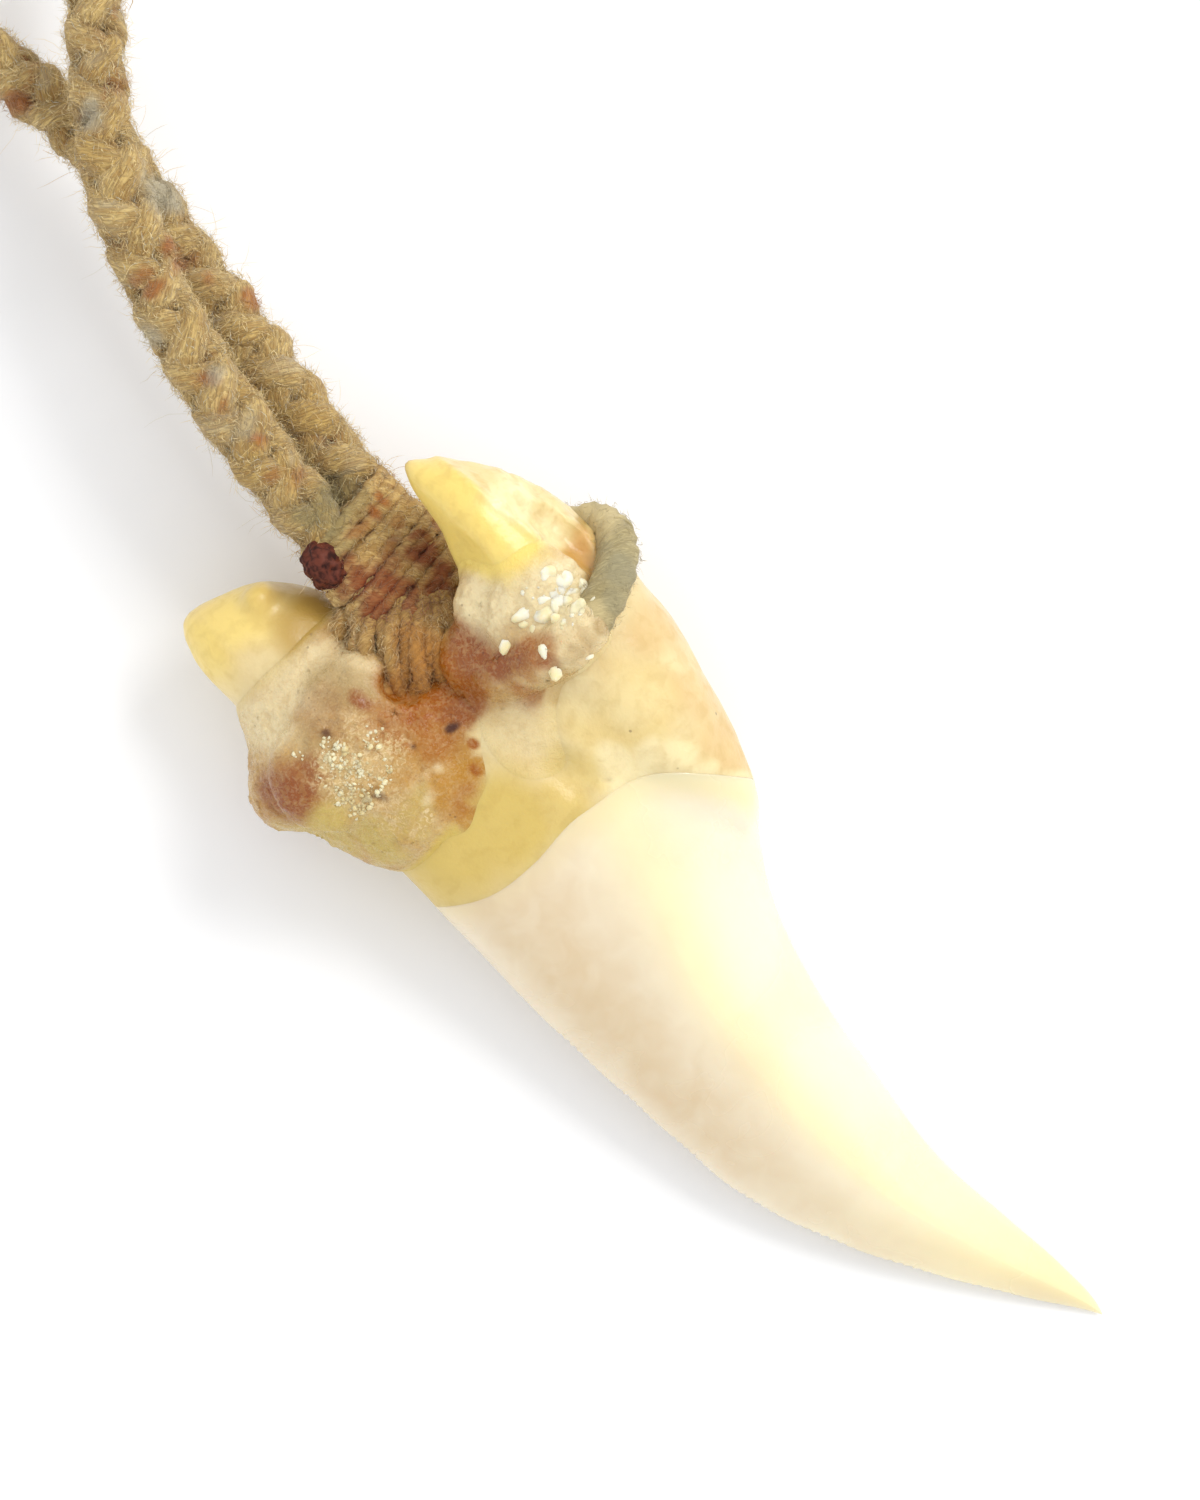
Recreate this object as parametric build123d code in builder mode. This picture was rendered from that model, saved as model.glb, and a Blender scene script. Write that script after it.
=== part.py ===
from build123d import *
from math import cos, pi, radians, sin, tan
import os

# Fang necklace: a curved tooth with a two-lobed root, tied and glued to a braided neck cord.
# It lies on the floor plane z = 0. The tooth points to -Y and the neck loop runs out to +Y.
# Lengths are millimetres. The origin is the middle of the whole, on the floor.

# Driving dimensions of the tooth
FANG_X = -0.7  # middle of the enamel line, across
FANG_Y = -108.5  # middle of the enamel line, along
FANG_Z = 5.8  # height of the tooth's mid surface there
FANG_ROLL = 10.0  # degrees, right lobe raised
FANG_PITCH = 4.0  # degrees, point lowered

# Driving dimensions of the cords and what holds them
CORD_DIAMETER = 3.1  # braided neck cord
TIE_DIAMETER = 2.0  # twisted cord round each lobe
BINDING_LENGTH = 7.5
BINDING_LIP = 0.8  # binding below the ends of the legs
BINDING_THREAD = 0.4  # wall of thread round both legs
LEG_CLEARANCE = 0.05  # between a leg and the binding round it
ARC_SHARE = 0.45  # part of the shorter run that an arc may take

LYING = CORD_DIAMETER / 2  # centre of a cord that lies on the floor

# Neck cord, by hand: from the binding round to the back of the neck, as points (x, y, z)
LEG_RIGHT = [
    (-2.4, -97.6, 8.0),
    (-1.6, -84.4, 8.2),
    (2.6, -73.2, 9.1),
    (9.4, -65.6, 8.0),
    (21.5, -55.0, 4.0),
    (44.9, -36.1, LYING),
    (72.9, -6.6, LYING),
    (89.8, 39.0, LYING),
    (85.0, 89.0, LYING),
    (54.0, 134.0, LYING),
    (8.0, 139.0, LYING),
]
LEG_LEFT = [
    (0.1, -97.7, 6.1),
    (1.3, -84.5, 6.0),
    (3.6, -72.8, 4.8),
    (2.2, -60.8, 3.0),
    (-9.5, -42.6, LYING),
    (-38.0, -21.0, LYING),
    (-72.0, 10.5, LYING),
    (-91.6, 55.3, LYING),
    (-79.0, 107.0, LYING),
    (-38.0, 144.0, LYING),
    (8.0, 139.0, LYING),
]

# Blade and root body, a row for each section along the tooth: its distance from the enamel
# line to the point, its left and right edge, the height of its upper and lower face over the
# edges, the height of the edges, and half the thickness of the edges.
BLADE = [
    # along, left, right, upper, lower, edges, rim
    (-7.0, -8.4, 6.2, 3.0, 2.3, 0.3, 1.7),
    (-4.0, -9.4, 7.2, 3.6, 2.8, 0.3, 2.0),
    (-1.0, -9.8, 7.0, 3.7, 2.8, 0.2, 1.6),
    (2.5, -10.0, 5.9, 3.6, 2.6, 0.1, 0.9),
    (6.0, -10.15, 4.0, 3.5, 2.3, 0.0, 0.3),
    (9.5, -10.1, 1.6, 3.3, 2.0, -0.15, 0.16),
    (14.0, -9.95, -0.1, 2.9, 1.8, -0.5, 0.13),
    (19.0, -9.6, -1.1, 2.5, 1.5, -1.0, 0.12),
    (24.0, -8.0, -1.9, 2.0, 1.1, -1.6, 0.11),
    (28.5, -5.8, -1.7, 1.5, 0.7, -2.2, 0.1),
    (32.0, -3.7, -1.55, 0.9, 0.4, -2.6, 0.09),
    (34.6, -2.15, -1.85, 0.2, 0.15, -2.85, 0.07),
]

# Root lobes, a row for each oval section
LOBE_LEFT = [
    # along, across, up, half width, half height
    (1.0, -6.0, 0.4, 1.8, 1.4),
    (-4.0, -6.2, 0.3, 3.0, 2.7),
    (-9.0, -6.6, 0.1, 3.4, 3.0),
    (-13.5, -6.4, 0.0, 3.5, 2.8),
    (-16.6, -7.1, -0.1, 2.7, 2.3),
    (-18.2, -8.2, -0.2, 1.2, 1.0),
]
LOBE_RIGHT = [
    # along, across, up, half width, half height
    (5.2, 3.6, 0.8, 1.2, 1.2),
    (1.5, 4.0, 1.6, 2.9, 2.8),
    (-3.0, 4.4, 2.0, 3.5, 3.5),
    (-7.0, 4.7, 2.4, 3.4, 3.5),
    (-11.0, 5.2, 3.1, 2.6, 3.0),
    (-13.9, 5.0, 3.7, 1.6, 1.9),
    (-16.2, 4.2, 4.2, 0.4, 0.4),
]

# Resin lumps, a row for each oval section
GLUE_LEFT = [
    # along, across, up, half width, half height
    (-13.6, -6.3, 0.2, 3.4, 2.8),
    (-12.3, -6.5, 0.0, 4.4, 4.1),
    (-9.6, -6.5, 0.0, 5.8, 5.3),
    (-7.0, -6.1, 0.2, 5.5, 5.0),
    (-4.8, -6.4, 0.6, 4.3, 4.0),
    (-3.2, -7.2, 1.0, 2.6, 2.4),
]
GLUE_RIGHT = [
    # along, across, up, half width, half height
    (-11.6, 3.1, 3.2, 1.2, 1.8),
    (-9.8, 2.4, 3.1, 3.0, 3.5),
    (-7.0, 2.4, 2.9, 3.8, 4.1),
    (-4.6, 1.9, 2.7, 4.0, 3.7),
    (-2.4, 0.6, 2.5, 3.1, 2.6),
    (-0.7, 0.1, 2.6, 1.3, 1.2),
]

# Ring of each tie round its lobe: along, across, up, half width, half height, lean in degrees
RING_LEFT = (-9.9, -6.55, 0.1, 4.3, 3.9, 0.0)
RING_RIGHT = (-7.0, 4.7, 2.4, 4.25, 4.9, 26.0)
RING_CORNERS = 10  # runs round a lobe
RING_ARC_RADIUS = 3.2

# Neck of each tie, from its ring into the binding's lower end
TIE_NECK_LEFT = ((-4.0, -98.8, 8.0), (-2.5, -97.1, 7.5))
TIE_NECK_RIGHT = ((-0.6, -101.2, 8.2), (-0.1, -97.0, 6.3))

# Lacquer drop on the binding: a large and a small round side by side
DROP_CENTRE = (-3.0, -92.9, 9.6)
DROP_RADIUS = 1.15
DROP_SIDE_CENTRE = (-2.5, -94.0, 9.5)
DROP_SIDE_RADIUS = 0.8

os.makedirs("parts", exist_ok=True)

roll = radians(FANG_ROLL)
pitch = radians(FANG_PITCH)
fang_frame = Plane(
    origin=(FANG_X, FANG_Y, FANG_Z),
    x_dir=(cos(roll), 0, sin(roll)),
    z_dir=(0, -cos(pitch), -sin(pitch)),
)


def fang_point(across, up, along):
    """Place in the model of a point given across, up and along the tooth."""
    return fang_frame.from_local_coords(Vector(across, up, along))


def blade_section(along, left, right, upper, lower, edges, rim):
    """Lens between two thin edges, as four arcs."""
    middle = (left + right) / 2
    left_top = (left + rim, edges + rim)
    left_foot = (left + rim, edges - rim)
    right_top = (right - rim, edges + rim)
    right_foot = (right - rim, edges - rim)
    with BuildSketch(fang_frame.offset(along)) as section:
        with BuildLine():
            ThreePointArc(left_foot, (left, edges), left_top)
            ThreePointArc(left_top, (middle, edges + upper), right_top)
            ThreePointArc(right_top, (right, edges), right_foot)
            ThreePointArc(right_foot, (middle, edges - lower), left_foot)
        make_face()
    return section.sketch


def oval_section(along, across, up, half_width, half_height):
    """Ellipse across the tooth."""
    with BuildSketch(fang_frame.offset(along)) as section:
        with Locations((across, up)):
            Ellipse(half_width, half_height)
    return section.sketch


def oval_loft(rows):
    """Lump through a table of ovals."""
    with BuildPart() as lump:
        loft([oval_section(*row) for row in rows])
    return lump.part


def round_rod(path, diameter):
    """Round tube along a path."""
    with BuildPart() as rod:
        with BuildSketch(Plane(origin=path @ 0, z_dir=path % 0)):
            Circle(diameter / 2)
        sweep(path=path)
    return rod.part


def corner_radii(points):
    """Radius of each corner's arc, from the shorter of its two runs and its turn."""
    radii = []
    for before, here, after in zip(points, points[1:], points[2:]):
        run_in = Vector(*here) - Vector(*before)
        run_out = Vector(*after) - Vector(*here)
        half_turn = radians(run_in.get_angle(run_out)) / 2
        radii.append(ARC_SHARE * min(run_in.length, run_out.length) / tan(half_turn))
    return radii


def neck_leg(name, points):
    """Half of the neck cord, a round tube along runs and arcs."""
    radii = corner_radii(points)
    with BuildLine():
        route = FilletPolyline(*points, radius=radii)
    leg = round_rod(route, CORD_DIAMETER)
    leg.label = name
    whole = pi * CORD_DIAMETER**2 / 4 * route.length
    print(name, "length", round(route.length, 1), "arc radii", [round(r, 1) for r in radii])
    print(name, "volume over section times length", round(leg.volume / whole, 4))
    return leg


def lobe_ring(along, across, up, half_width, half_height, lean):
    """Corners of a tie round its lobe, in a plane that leans towards the point at its top."""
    tilt = radians(lean)
    corners = []
    for corner in range(RING_CORNERS):
        angle = 2 * pi * corner / RING_CORNERS
        side = across + half_width * cos(angle)
        rise = half_height * sin(angle)
        corners.append(fang_point(side, up + rise * cos(tilt), along + rise * sin(tilt)))
    return corners


def lobe_tie(name, ring, neck_ends, neighbours):
    """Tie round a lobe with the short neck that goes up into the binding."""
    with BuildLine():
        loop = FilletPolyline(*lobe_ring(*ring), radius=RING_ARC_RADIUS, close=True)
        neck = Line(*neck_ends)
    with BuildPart() as tie:
        add(round_rod(loop, TIE_DIAMETER))
        add(round_rod(neck, TIE_DIAMETER))
        for neighbour in neighbours:
            add(neighbour, mode=Mode.SUBTRACT)
    tie.part.label = name
    return tie.part


def cut_lump(name, lump, neighbours):
    """Lump fitted to what it touches, without the crumbs that the cuts leave."""
    with BuildPart() as fitted:
        add(lump)
        for neighbour in neighbours:
            add(neighbour, mode=Mode.SUBTRACT)
    largest = fitted.part.solids().sort_by(SortBy.VOLUME)[-1]
    largest.label = name
    return largest


# Tooth
with BuildPart() as fang:
    loft([blade_section(*row) for row in BLADE])
    add(oval_loft(LOBE_LEFT))
    add(oval_loft(LOBE_RIGHT))
fang.part.label = "fang"

# Neck cord, in two halves that meet face to face at the back
cord_right = neck_leg("cord_right", LEG_RIGHT)
cord_left = neck_leg("cord_left", LEG_LEFT)

# Twisted ties round the lobes
tie_neighbours = (fang.part, cord_right, cord_left)
lobe_tie_left = lobe_tie("lobe_tie_left", RING_LEFT, TIE_NECK_LEFT, tie_neighbours)
lobe_tie_right = lobe_tie("lobe_tie_right", RING_RIGHT, TIE_NECK_RIGHT, tie_neighbours)

# Thread binding round both legs, which run through it side by side
right_start = Vector(*LEG_RIGHT[0])
left_start = Vector(*LEG_LEFT[0])
legs_run = Vector(*LEG_RIGHT[1]) + Vector(*LEG_LEFT[1]) - right_start - left_start
binding_frame = Plane(
    origin=(right_start + left_start) * 0.5,
    x_dir=left_start - right_start,
    z_dir=legs_run,
)
with BuildPart() as binding:
    with BuildSketch(binding_frame.offset(-BINDING_LIP)):
        SlotCenterToCenter((left_start - right_start).length, CORD_DIAMETER + 2 * BINDING_THREAD)
    extrude(amount=BINDING_LIP + BINDING_LENGTH)
    for points in (LEG_RIGHT, LEG_LEFT):
        with BuildLine():
            leg_axis = Line(points[0], points[1])
        add(round_rod(leg_axis, CORD_DIAMETER + 2 * LEG_CLEARANCE), mode=Mode.SUBTRACT)
    for neighbour in (fang.part, lobe_tie_left, lobe_tie_right):
        add(neighbour, mode=Mode.SUBTRACT)
binding.part.label = "binding"

# Resin over each tie
held = (fang.part, lobe_tie_left, lobe_tie_right, binding.part, cord_right, cord_left)
glue_left = cut_lump("glue_left", oval_loft(GLUE_LEFT), held)
glue_right = cut_lump("glue_right", oval_loft(GLUE_RIGHT), (*held, glue_left))

# Lacquer drop
with BuildPart() as drop:
    with Locations(DROP_CENTRE):
        Sphere(DROP_RADIUS)
    with Locations(DROP_SIDE_CENTRE):
        Sphere(DROP_SIDE_RADIUS)
lacquer_drop = cut_lump("lacquer_drop", drop.part, (binding.part, cord_right, cord_left))

pieces = (
    fang.part,
    lobe_tie_left,
    lobe_tie_right,
    glue_left,
    glue_right,
    binding.part,
    lacquer_drop,
    cord_right,
    cord_left,
)
for piece in pieces:
    export_step(piece, f"parts/{piece.label}.step")
    box = piece.bounding_box()
    print(piece.label, "from", [round(c, 2) for c in box.min], "to", [round(c, 2) for c in box.max])
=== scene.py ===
# %% [markdown]
# # A fang on a plaited cord
# A curved tooth hangs from a plaited neck cord. Two short twisted ties run round the lobes of its root,
# a thread binding gathers them with the ends of the cord, and old resin holds it all.
# The imported model is the frame: every piece below is worked out in its coordinates, in metres.

import math

import bpy
import numpy as np
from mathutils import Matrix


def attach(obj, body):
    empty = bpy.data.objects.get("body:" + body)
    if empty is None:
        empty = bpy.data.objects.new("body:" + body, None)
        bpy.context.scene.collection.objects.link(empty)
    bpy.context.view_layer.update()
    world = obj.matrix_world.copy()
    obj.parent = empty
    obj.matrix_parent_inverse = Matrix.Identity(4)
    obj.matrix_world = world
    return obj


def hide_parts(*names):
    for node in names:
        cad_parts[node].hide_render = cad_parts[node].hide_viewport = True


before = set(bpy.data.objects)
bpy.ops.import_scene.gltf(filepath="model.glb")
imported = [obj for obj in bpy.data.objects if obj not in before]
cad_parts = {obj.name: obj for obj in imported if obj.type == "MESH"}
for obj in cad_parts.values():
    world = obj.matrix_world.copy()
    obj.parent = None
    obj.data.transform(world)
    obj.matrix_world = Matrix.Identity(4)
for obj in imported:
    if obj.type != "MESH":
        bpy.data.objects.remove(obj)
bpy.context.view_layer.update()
MM = 0.001
print("nodes", sorted(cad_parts))

# %% [markdown]
# ## Camera
# The photograph looks straight down on the tooth, which lies on a white table, with the tooth turned
# so that its point is at the lower right. A long lens from 300 mm up keeps the perspective mild.
# The tooth runs along -Y in the model, so the camera is rolled by an eighth of a turn.

# %% Camera
PHOTO_WIDTH, PHOTO_HEIGHT = 1200, 1500
MM_PER_PIXEL = 0.046
FOCUS_HEIGHT = 5.0
CAMERA_ABOVE = 300.0
CAMERA_AIM = (-0.05, -107.85)
PHOTO_TURN = math.radians(-45.0)
SENSOR = 36.0


def add_object(name, data):
    """Object with that data, put in the scene."""
    thing = bpy.data.objects.new(name, data)
    bpy.context.scene.collection.objects.link(thing)
    return thing


def add_camera():
    """Camera over the tooth. Its lens is the sensor times the distance over the height of the view."""
    data = bpy.data.cameras.new("camera")
    data.sensor_width = SENSOR
    data.lens = SENSOR * CAMERA_ABOVE / (PHOTO_HEIGHT * MM_PER_PIXEL)
    data.clip_start, data.clip_end = 0.01, 20.0
    camera = add_object("camera", data)
    camera.location = np.array([*CAMERA_AIM, FOCUS_HEIGHT + CAMERA_ABOVE]) * MM
    camera.rotation_euler = (0.0, 0.0, PHOTO_TURN)
    bpy.context.scene.camera = camera
    return camera


camera = add_camera()
print("lens", round(camera.data.lens, 1), "mm")

# %% [markdown]
# ## Table and light
# The table is a plain white sheet. A wide soft light stands at the upper right of the photograph, which
# is +X here, and a weak one at its bottom. A bright white sky fills the rest, so the shadow is pale and
# falls to the lower left.
# The Standard view keeps the white of the sheet white.

# %% Table and light
FLOOR_SIDE = 6.0
SHEET_WHITE = (0.94, 0.94, 0.94, 1.0)
SKY_STRENGTH = 1.0
SKY_COLOUR = (0.97, 0.98, 1.0)
LIGHTS = (
    # name, place in metres, side in metres, watts
    ("key", (1.0, -0.13, 1.04), 0.6, 10.0),
    ("fill", (-0.5, -0.5, 0.5), 0.6, 0.3),
)


def add_soft_light(name, place, size, power):
    """Square soft light that faces the tooth."""
    data = bpy.data.lights.new(name, "AREA")
    data.shape = "SQUARE"
    data.size = size
    data.energy = power
    light = add_object(name, data)
    light.location = place
    back = place - np.array([*CAMERA_AIM, FOCUS_HEIGHT]) * MM
    turn = math.atan2(back[1], back[0]) + math.pi / 2
    tilt = math.acos(back[2] / np.linalg.norm(back))
    light.rotation_euler = (tilt, 0.0, turn)


def add_sky():
    """Even white surrounding light."""
    world = bpy.data.worlds.new("sky")
    world.use_nodes = True
    background = world.node_tree.nodes["Background"]
    background.inputs["Color"].default_value = (*SKY_COLOUR, 1.0)
    background.inputs["Strength"].default_value = SKY_STRENGTH
    bpy.context.scene.world = world


def add_table():
    """Large flat sheet under the necklace."""
    half = FLOOR_SIDE / 2
    corners = [(-half, -half, 0.0), (half, -half, 0.0), (half, half, 0.0), (-half, half, 0.0)]
    mesh = bpy.data.meshes.new("table")
    mesh.from_pydata(corners, [], [(0, 1, 2, 3)])
    table = add_object("table", mesh)
    material = bpy.data.materials.new("white_sheet")
    material.use_nodes = True
    paper = material.node_tree.nodes["Principled BSDF"]
    paper.inputs["Base Color"].default_value = SHEET_WHITE
    paper.inputs["Roughness"].default_value = 0.9
    mesh.materials.append(material)


bpy.context.scene.view_settings.view_transform = "Standard"
add_sky()
add_table()
for light in LIGHTS:
    add_soft_light(*light)

# %% [markdown]
# ## The tooth's own frame
# The tooth lies a little rolled and with its point lowered. Its shape is easier to say in its own
# coordinates: across, up, and along from the enamel line towards the point.
# One function turns those into places in the model, and short tables say how big the tooth is where.

# %% The tooth's frame and tables
FANG_PLACE = np.array([-0.7, -108.5, 5.8])
FANG_ROLL = math.radians(10.0)
FANG_PITCH = math.radians(4.0)

ALONG_AXIS = np.array([0.0, -math.cos(FANG_PITCH), -math.sin(FANG_PITCH)])
ACROSS_AXIS = np.array([math.cos(FANG_ROLL), 0.0, math.sin(FANG_ROLL)])
ACROSS_AXIS -= ALONG_AXIS * (ACROSS_AXIS @ ALONG_AXIS)
ACROSS_AXIS /= np.linalg.norm(ACROSS_AXIS)
UP_AXIS = np.cross(ALONG_AXIS, ACROSS_AXIS)
FANG_AXES = np.stack([ACROSS_AXIS, UP_AXIS, ALONG_AXIS])


def in_model(local):
    """Tooth coordinates in mm to model ones: the tooth's place plus each axis times its coordinate."""
    return FANG_PLACE + local @ FANG_AXES


def in_fang(model):
    """Model coordinates in mm to tooth coordinates: the same axes read the other way."""
    return (model - FANG_PLACE) @ FANG_AXES.T


def on_photo(x, y, height):
    """Model place in mm under a pixel of the photograph, for a point at that height in mm."""
    right, down = x - PHOTO_WIDTH / 2, y - PHOTO_HEIGHT / 2
    nearer = 1.0 - (height - FOCUS_HEIGHT) / CAMERA_ABOVE
    step = MM_PER_PIXEL * nearer * math.sqrt(0.5)
    middle_x, middle_y = CAMERA_AIM
    return np.array([middle_x + step * (right - down), middle_y - step * (right + down), height])


def pixel_of(model):
    """The pixel that each place in mm shows at: the same sum read the other way."""
    step = MM_PER_PIXEL * math.sqrt(0.5) * (1.0 - (model[:, 2] - FOCUS_HEIGHT) / CAMERA_ABOVE)
    x, y = (model[:, :2] - CAMERA_AIM).T / (2 * step)
    return np.stack([PHOTO_WIDTH / 2 + x - y, PHOTO_HEIGHT / 2 - x - y], -1)


# along, left edge, right edge, upper height, lower height, edge height
BLADE = np.array([
    (-8.5, -6.5, 4.5, 2.2, 1.7, 0.5),
    (-7.0, -8.3, 6.1, 3.2, 2.6, 0.4),
    (-4.0, -9.5, 7.3, 3.8, 3.1, 0.3),
    (-1.0, -9.85, 6.65, 3.9, 3.0, 0.2),
    (2.5, -10.0, 5.5, 3.75, 2.7, 0.1),
    (6.0, -10.15, 3.9, 3.55, 2.35, 0.0),
    (9.5, -10.1, 1.6, 3.35, 2.05, -0.15),
    (14.0, -9.95, -0.1, 3.0, 1.8, -0.5),
    (19.0, -9.6, -1.1, 2.55, 1.5, -1.0),
    (24.0, -8.0, -1.9, 2.05, 1.1, -1.6),
    (28.5, -5.8, -1.75, 1.5, 0.75, -2.2),
    (32.0, -3.75, -1.6, 0.9, 0.42, -2.6),
    (34.6, -2.1, -1.8, 0.16, 0.12, -2.85),
    (34.9, -1.95, -1.9, 0.03, 0.02, -2.88),
])

# along, across, up, half width, half height of the oval sections of each root lobe
LOBE_LEFT = np.array([
    (3.0, -6.0, 0.4, 0.6, 0.5),
    (1.0, -6.0, 0.4, 1.9, 1.5),
    (-4.0, -6.2, 0.3, 3.1, 2.8),
    (-9.0, -6.6, 0.1, 3.4, 3.0),
    (-13.5, -6.45, 0.0, 3.45, 2.8),
    (-16.3, -7.0, -0.1, 2.75, 2.3),
    (-17.4, -7.5, -0.15, 1.95, 1.6),
    (-18.0, -8.1, -0.2, 1.05, 0.9),
    (-18.35, -8.4, -0.2, 0.05, 0.05),
])
LOBE_RIGHT = np.array([
    (6.4, 3.5, 0.8, 0.4, 0.4),
    (5.2, 3.6, 0.8, 1.2, 1.2),
    (1.5, 3.9, 1.6, 2.4, 2.8),
    (-3.0, 4.3, 2.0, 3.2, 3.5),
    (-7.0, 4.7, 2.4, 3.4, 3.6),
    (-11.0, 5.2, 3.1, 2.75, 3.3),
    (-13.9, 5.2, 3.7, 1.75, 2.3),
    (-15.8, 4.55, 4.2, 0.6, 0.75),
    (-16.35, 4.45, 4.3, 0.05, 0.05),
])


def curve_through(knots, values, at):
    """Smooth curve through a table: cubic pieces whose slope at each row comes from its neighbours."""
    order = np.argsort(knots)
    x, y = knots[order], values[order]
    slope = np.gradient(y, x, axis=0)
    i = np.clip(np.searchsorted(x, at) - 1, 0, len(x) - 2)
    span = (x[i + 1] - x[i])[:, None]
    t = np.clip((at - x[i])[:, None] / span, 0.0, 1.0)
    rise = y[i + 1] - y[i]
    bend = span * slope[i] - rise
    bend_back = rise - span * slope[i + 1]
    return y[i] + t * rise + t * (1 - t) * ((1 - t) * bend + t * bend_back)


print("axes", np.round(FANG_AXES, 3).tolist())

# %% [markdown]
# ## Meshes from arrays
# Every piece ends as an array of places in mm and an array of faces. One helper makes the object from
# them and tells the frame which body it rides on and which solid it stands for.
# Another joins the cells of a grid, and a third gives a smooth random value at each place, from a
# lattice of random numbers with eased steps between them.

# %% Mesh helpers
def add_mask(mesh, key, values):
    """Named number, or named triple of numbers, for each vertex, which a material can read."""
    kind, field = ("FLOAT", "value") if values.ndim == 1 else ("FLOAT_VECTOR", "vector")
    mesh.attributes.new(key, kind, "POINT").data.foreach_set(field, values.astype(np.float32).ravel())


def add_piece(name, slot, node, places, quads, triangles=(), masks=None):
    """Object from places in mm, four-sided and three-sided faces, and named masks per place.

    It rides on the only body and stands for the node, if it has one. The slot is not used.
    """
    corners = np.concatenate([quads.ravel(), np.ravel(triangles)]).astype(np.int32)
    sizes = np.concatenate([np.full(len(quads), 4), np.full(len(triangles), 3)]).astype(np.int32)
    starts = np.concatenate([[0], np.cumsum(sizes)[:-1]]).astype(np.int32)
    mesh = bpy.data.meshes.new(name)
    mesh.vertices.add(len(places))
    mesh.vertices.foreach_set("co", (places * MM).astype(np.float32).ravel())
    mesh.loops.add(len(corners))
    mesh.loops.foreach_set("vertex_index", corners)
    mesh.polygons.add(len(sizes))
    mesh.polygons.foreach_set("loop_start", starts)
    mesh.polygons.foreach_set("loop_total", sizes)
    mesh.polygons.foreach_set("use_smooth", np.ones(len(sizes), bool))
    for key, values in (masks or {}).items():
        add_mask(mesh, key, values)
    mesh.update(calc_edges=True)
    mesh.validate()
    piece = add_object(name, mesh)
    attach(piece, "root")
    if node:
        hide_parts(node)
    print(name, len(quads) * 2 + len(triangles), "triangles")
    return piece


def tube_places(rings):
    """Vertices of a closed tube: its rings, then the middle of its first and last ring."""
    return np.concatenate([rings.reshape(-1, 3), [rings[0].mean(0), rings[-1].mean(0)]])


def tube_faces(rings, columns, start=0):
    """Faces of a closed tube, and how many vertices it has.

    Each cell joins a ring to the next and a column to the one after. A fan of triangles closes each end.
    """
    count = rings * columns
    ring = np.arange(rings - 1)[:, None] * columns
    here = np.arange(columns)
    after = (here + 1) % columns
    cells = np.stack([ring + here, ring + after, ring + columns + after, ring + columns + here], -1)
    last = count - columns
    fans = [
        np.stack([after, here, np.full(columns, count)], -1),
        np.stack([last + here, last + after, np.full(columns, count + 1)], -1),
    ]
    return cells.reshape(-1, 4) + start, np.concatenate(fans) + start, count + 2


# %% Smooth noise
def lattice_value(corner, seed):
    """Random number from -1 to 1 for a whole-numbered place, by mixing its coordinates as integers."""
    x, y, z = (corner[..., i] for i in range(3))
    mixed = x * 73856093 ^ y * 19349663 ^ z * 83492791 ^ seed * 2654435761
    mixed = (mixed ^ (mixed >> 13)) * 1274126177 & 0xFFFFFFFF
    mixed = (mixed ^ (mixed >> 16)) * 2246822519 & 0xFFFFFFFF
    return (mixed ^ (mixed >> 15)) % 65536 / 32767.5 - 1.0


def smooth_noise(places, size, seed=1):
    """Smooth random value at each place: the eight lattice numbers around it, weighted by eased steps."""
    scaled = places / size
    base = np.floor(scaled).astype(np.int64)
    t = scaled - base
    t = t * t * (3.0 - 2.0 * t)
    total = np.zeros(len(places))
    for corner in np.ndindex(2, 2, 2):
        step = np.array(corner)
        weight = np.prod(np.where(step == 1, t, 1.0 - t), axis=1)
        total += weight * lattice_value(base + step, seed)
    return total


def layered_noise(places, size, layers=3, seed=1):
    """Sum of smooth noises, each half the size and half the height of the one before."""
    return sum(smooth_noise(places, size / 2**n, seed + n) / 2**n for n in range(layers))


def unit(vectors):
    """Vectors cut to length one."""
    return vectors / np.maximum(np.linalg.norm(vectors, axis=-1), 1e-12)[..., None]


def full_turn(count):
    """Angles that divide a full turn in equal steps."""
    return np.linspace(0.0, 2.0 * np.pi, count, endpoint=False)


def eased(value, low, high):
    """Eased step from 0 at low to 1 at high."""
    t = np.clip((value - low) / (high - low), 0.0, 1.0)
    return t * t * (3.0 - 2.0 * t)


print("noise sample", np.round(smooth_noise(np.array([[0.3, 0.2, 0.9]]), 1.0), 3))

# %% [markdown]
# ## Sections of the blade
# The blade of such a tooth is a lens in section: two faces that meet in a thin cutting edge on each
# side, the upper one with a soft ridge. A superellipse says this with one number. At a power of 2 it
# is an ellipse, as the root is, and near 1 it is a diamond with sharp corners, so the power
# falls from the root to the blade. The same formula gives points for a grid and a test for a field.

# %% Blade section
def blade_at(along):
    """Columns of the blade table at distances along, with the powers of its upper and lower faces."""
    rows = curve_through(BLADE[:, 0], BLADE[:, 1:], along)
    root_to_blade = eased(along, -4.0, 9.0)
    upper_power = 2.3 - 0.85 * root_to_blade
    lower_power = 2.2 - 0.55 * root_to_blade
    ridge = 0.16 * root_to_blade
    return (*rows.T, upper_power, lower_power, ridge)


def share_of_width(local, widest):
    """Where each place lies between the blade's edges: -1 at the left one, 1 at the right one."""
    left, right, *_ = blade_at(local[:, 2])
    return np.clip((2 * local[:, 0] - left - right) / (right - left), -widest, widest)


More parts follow.
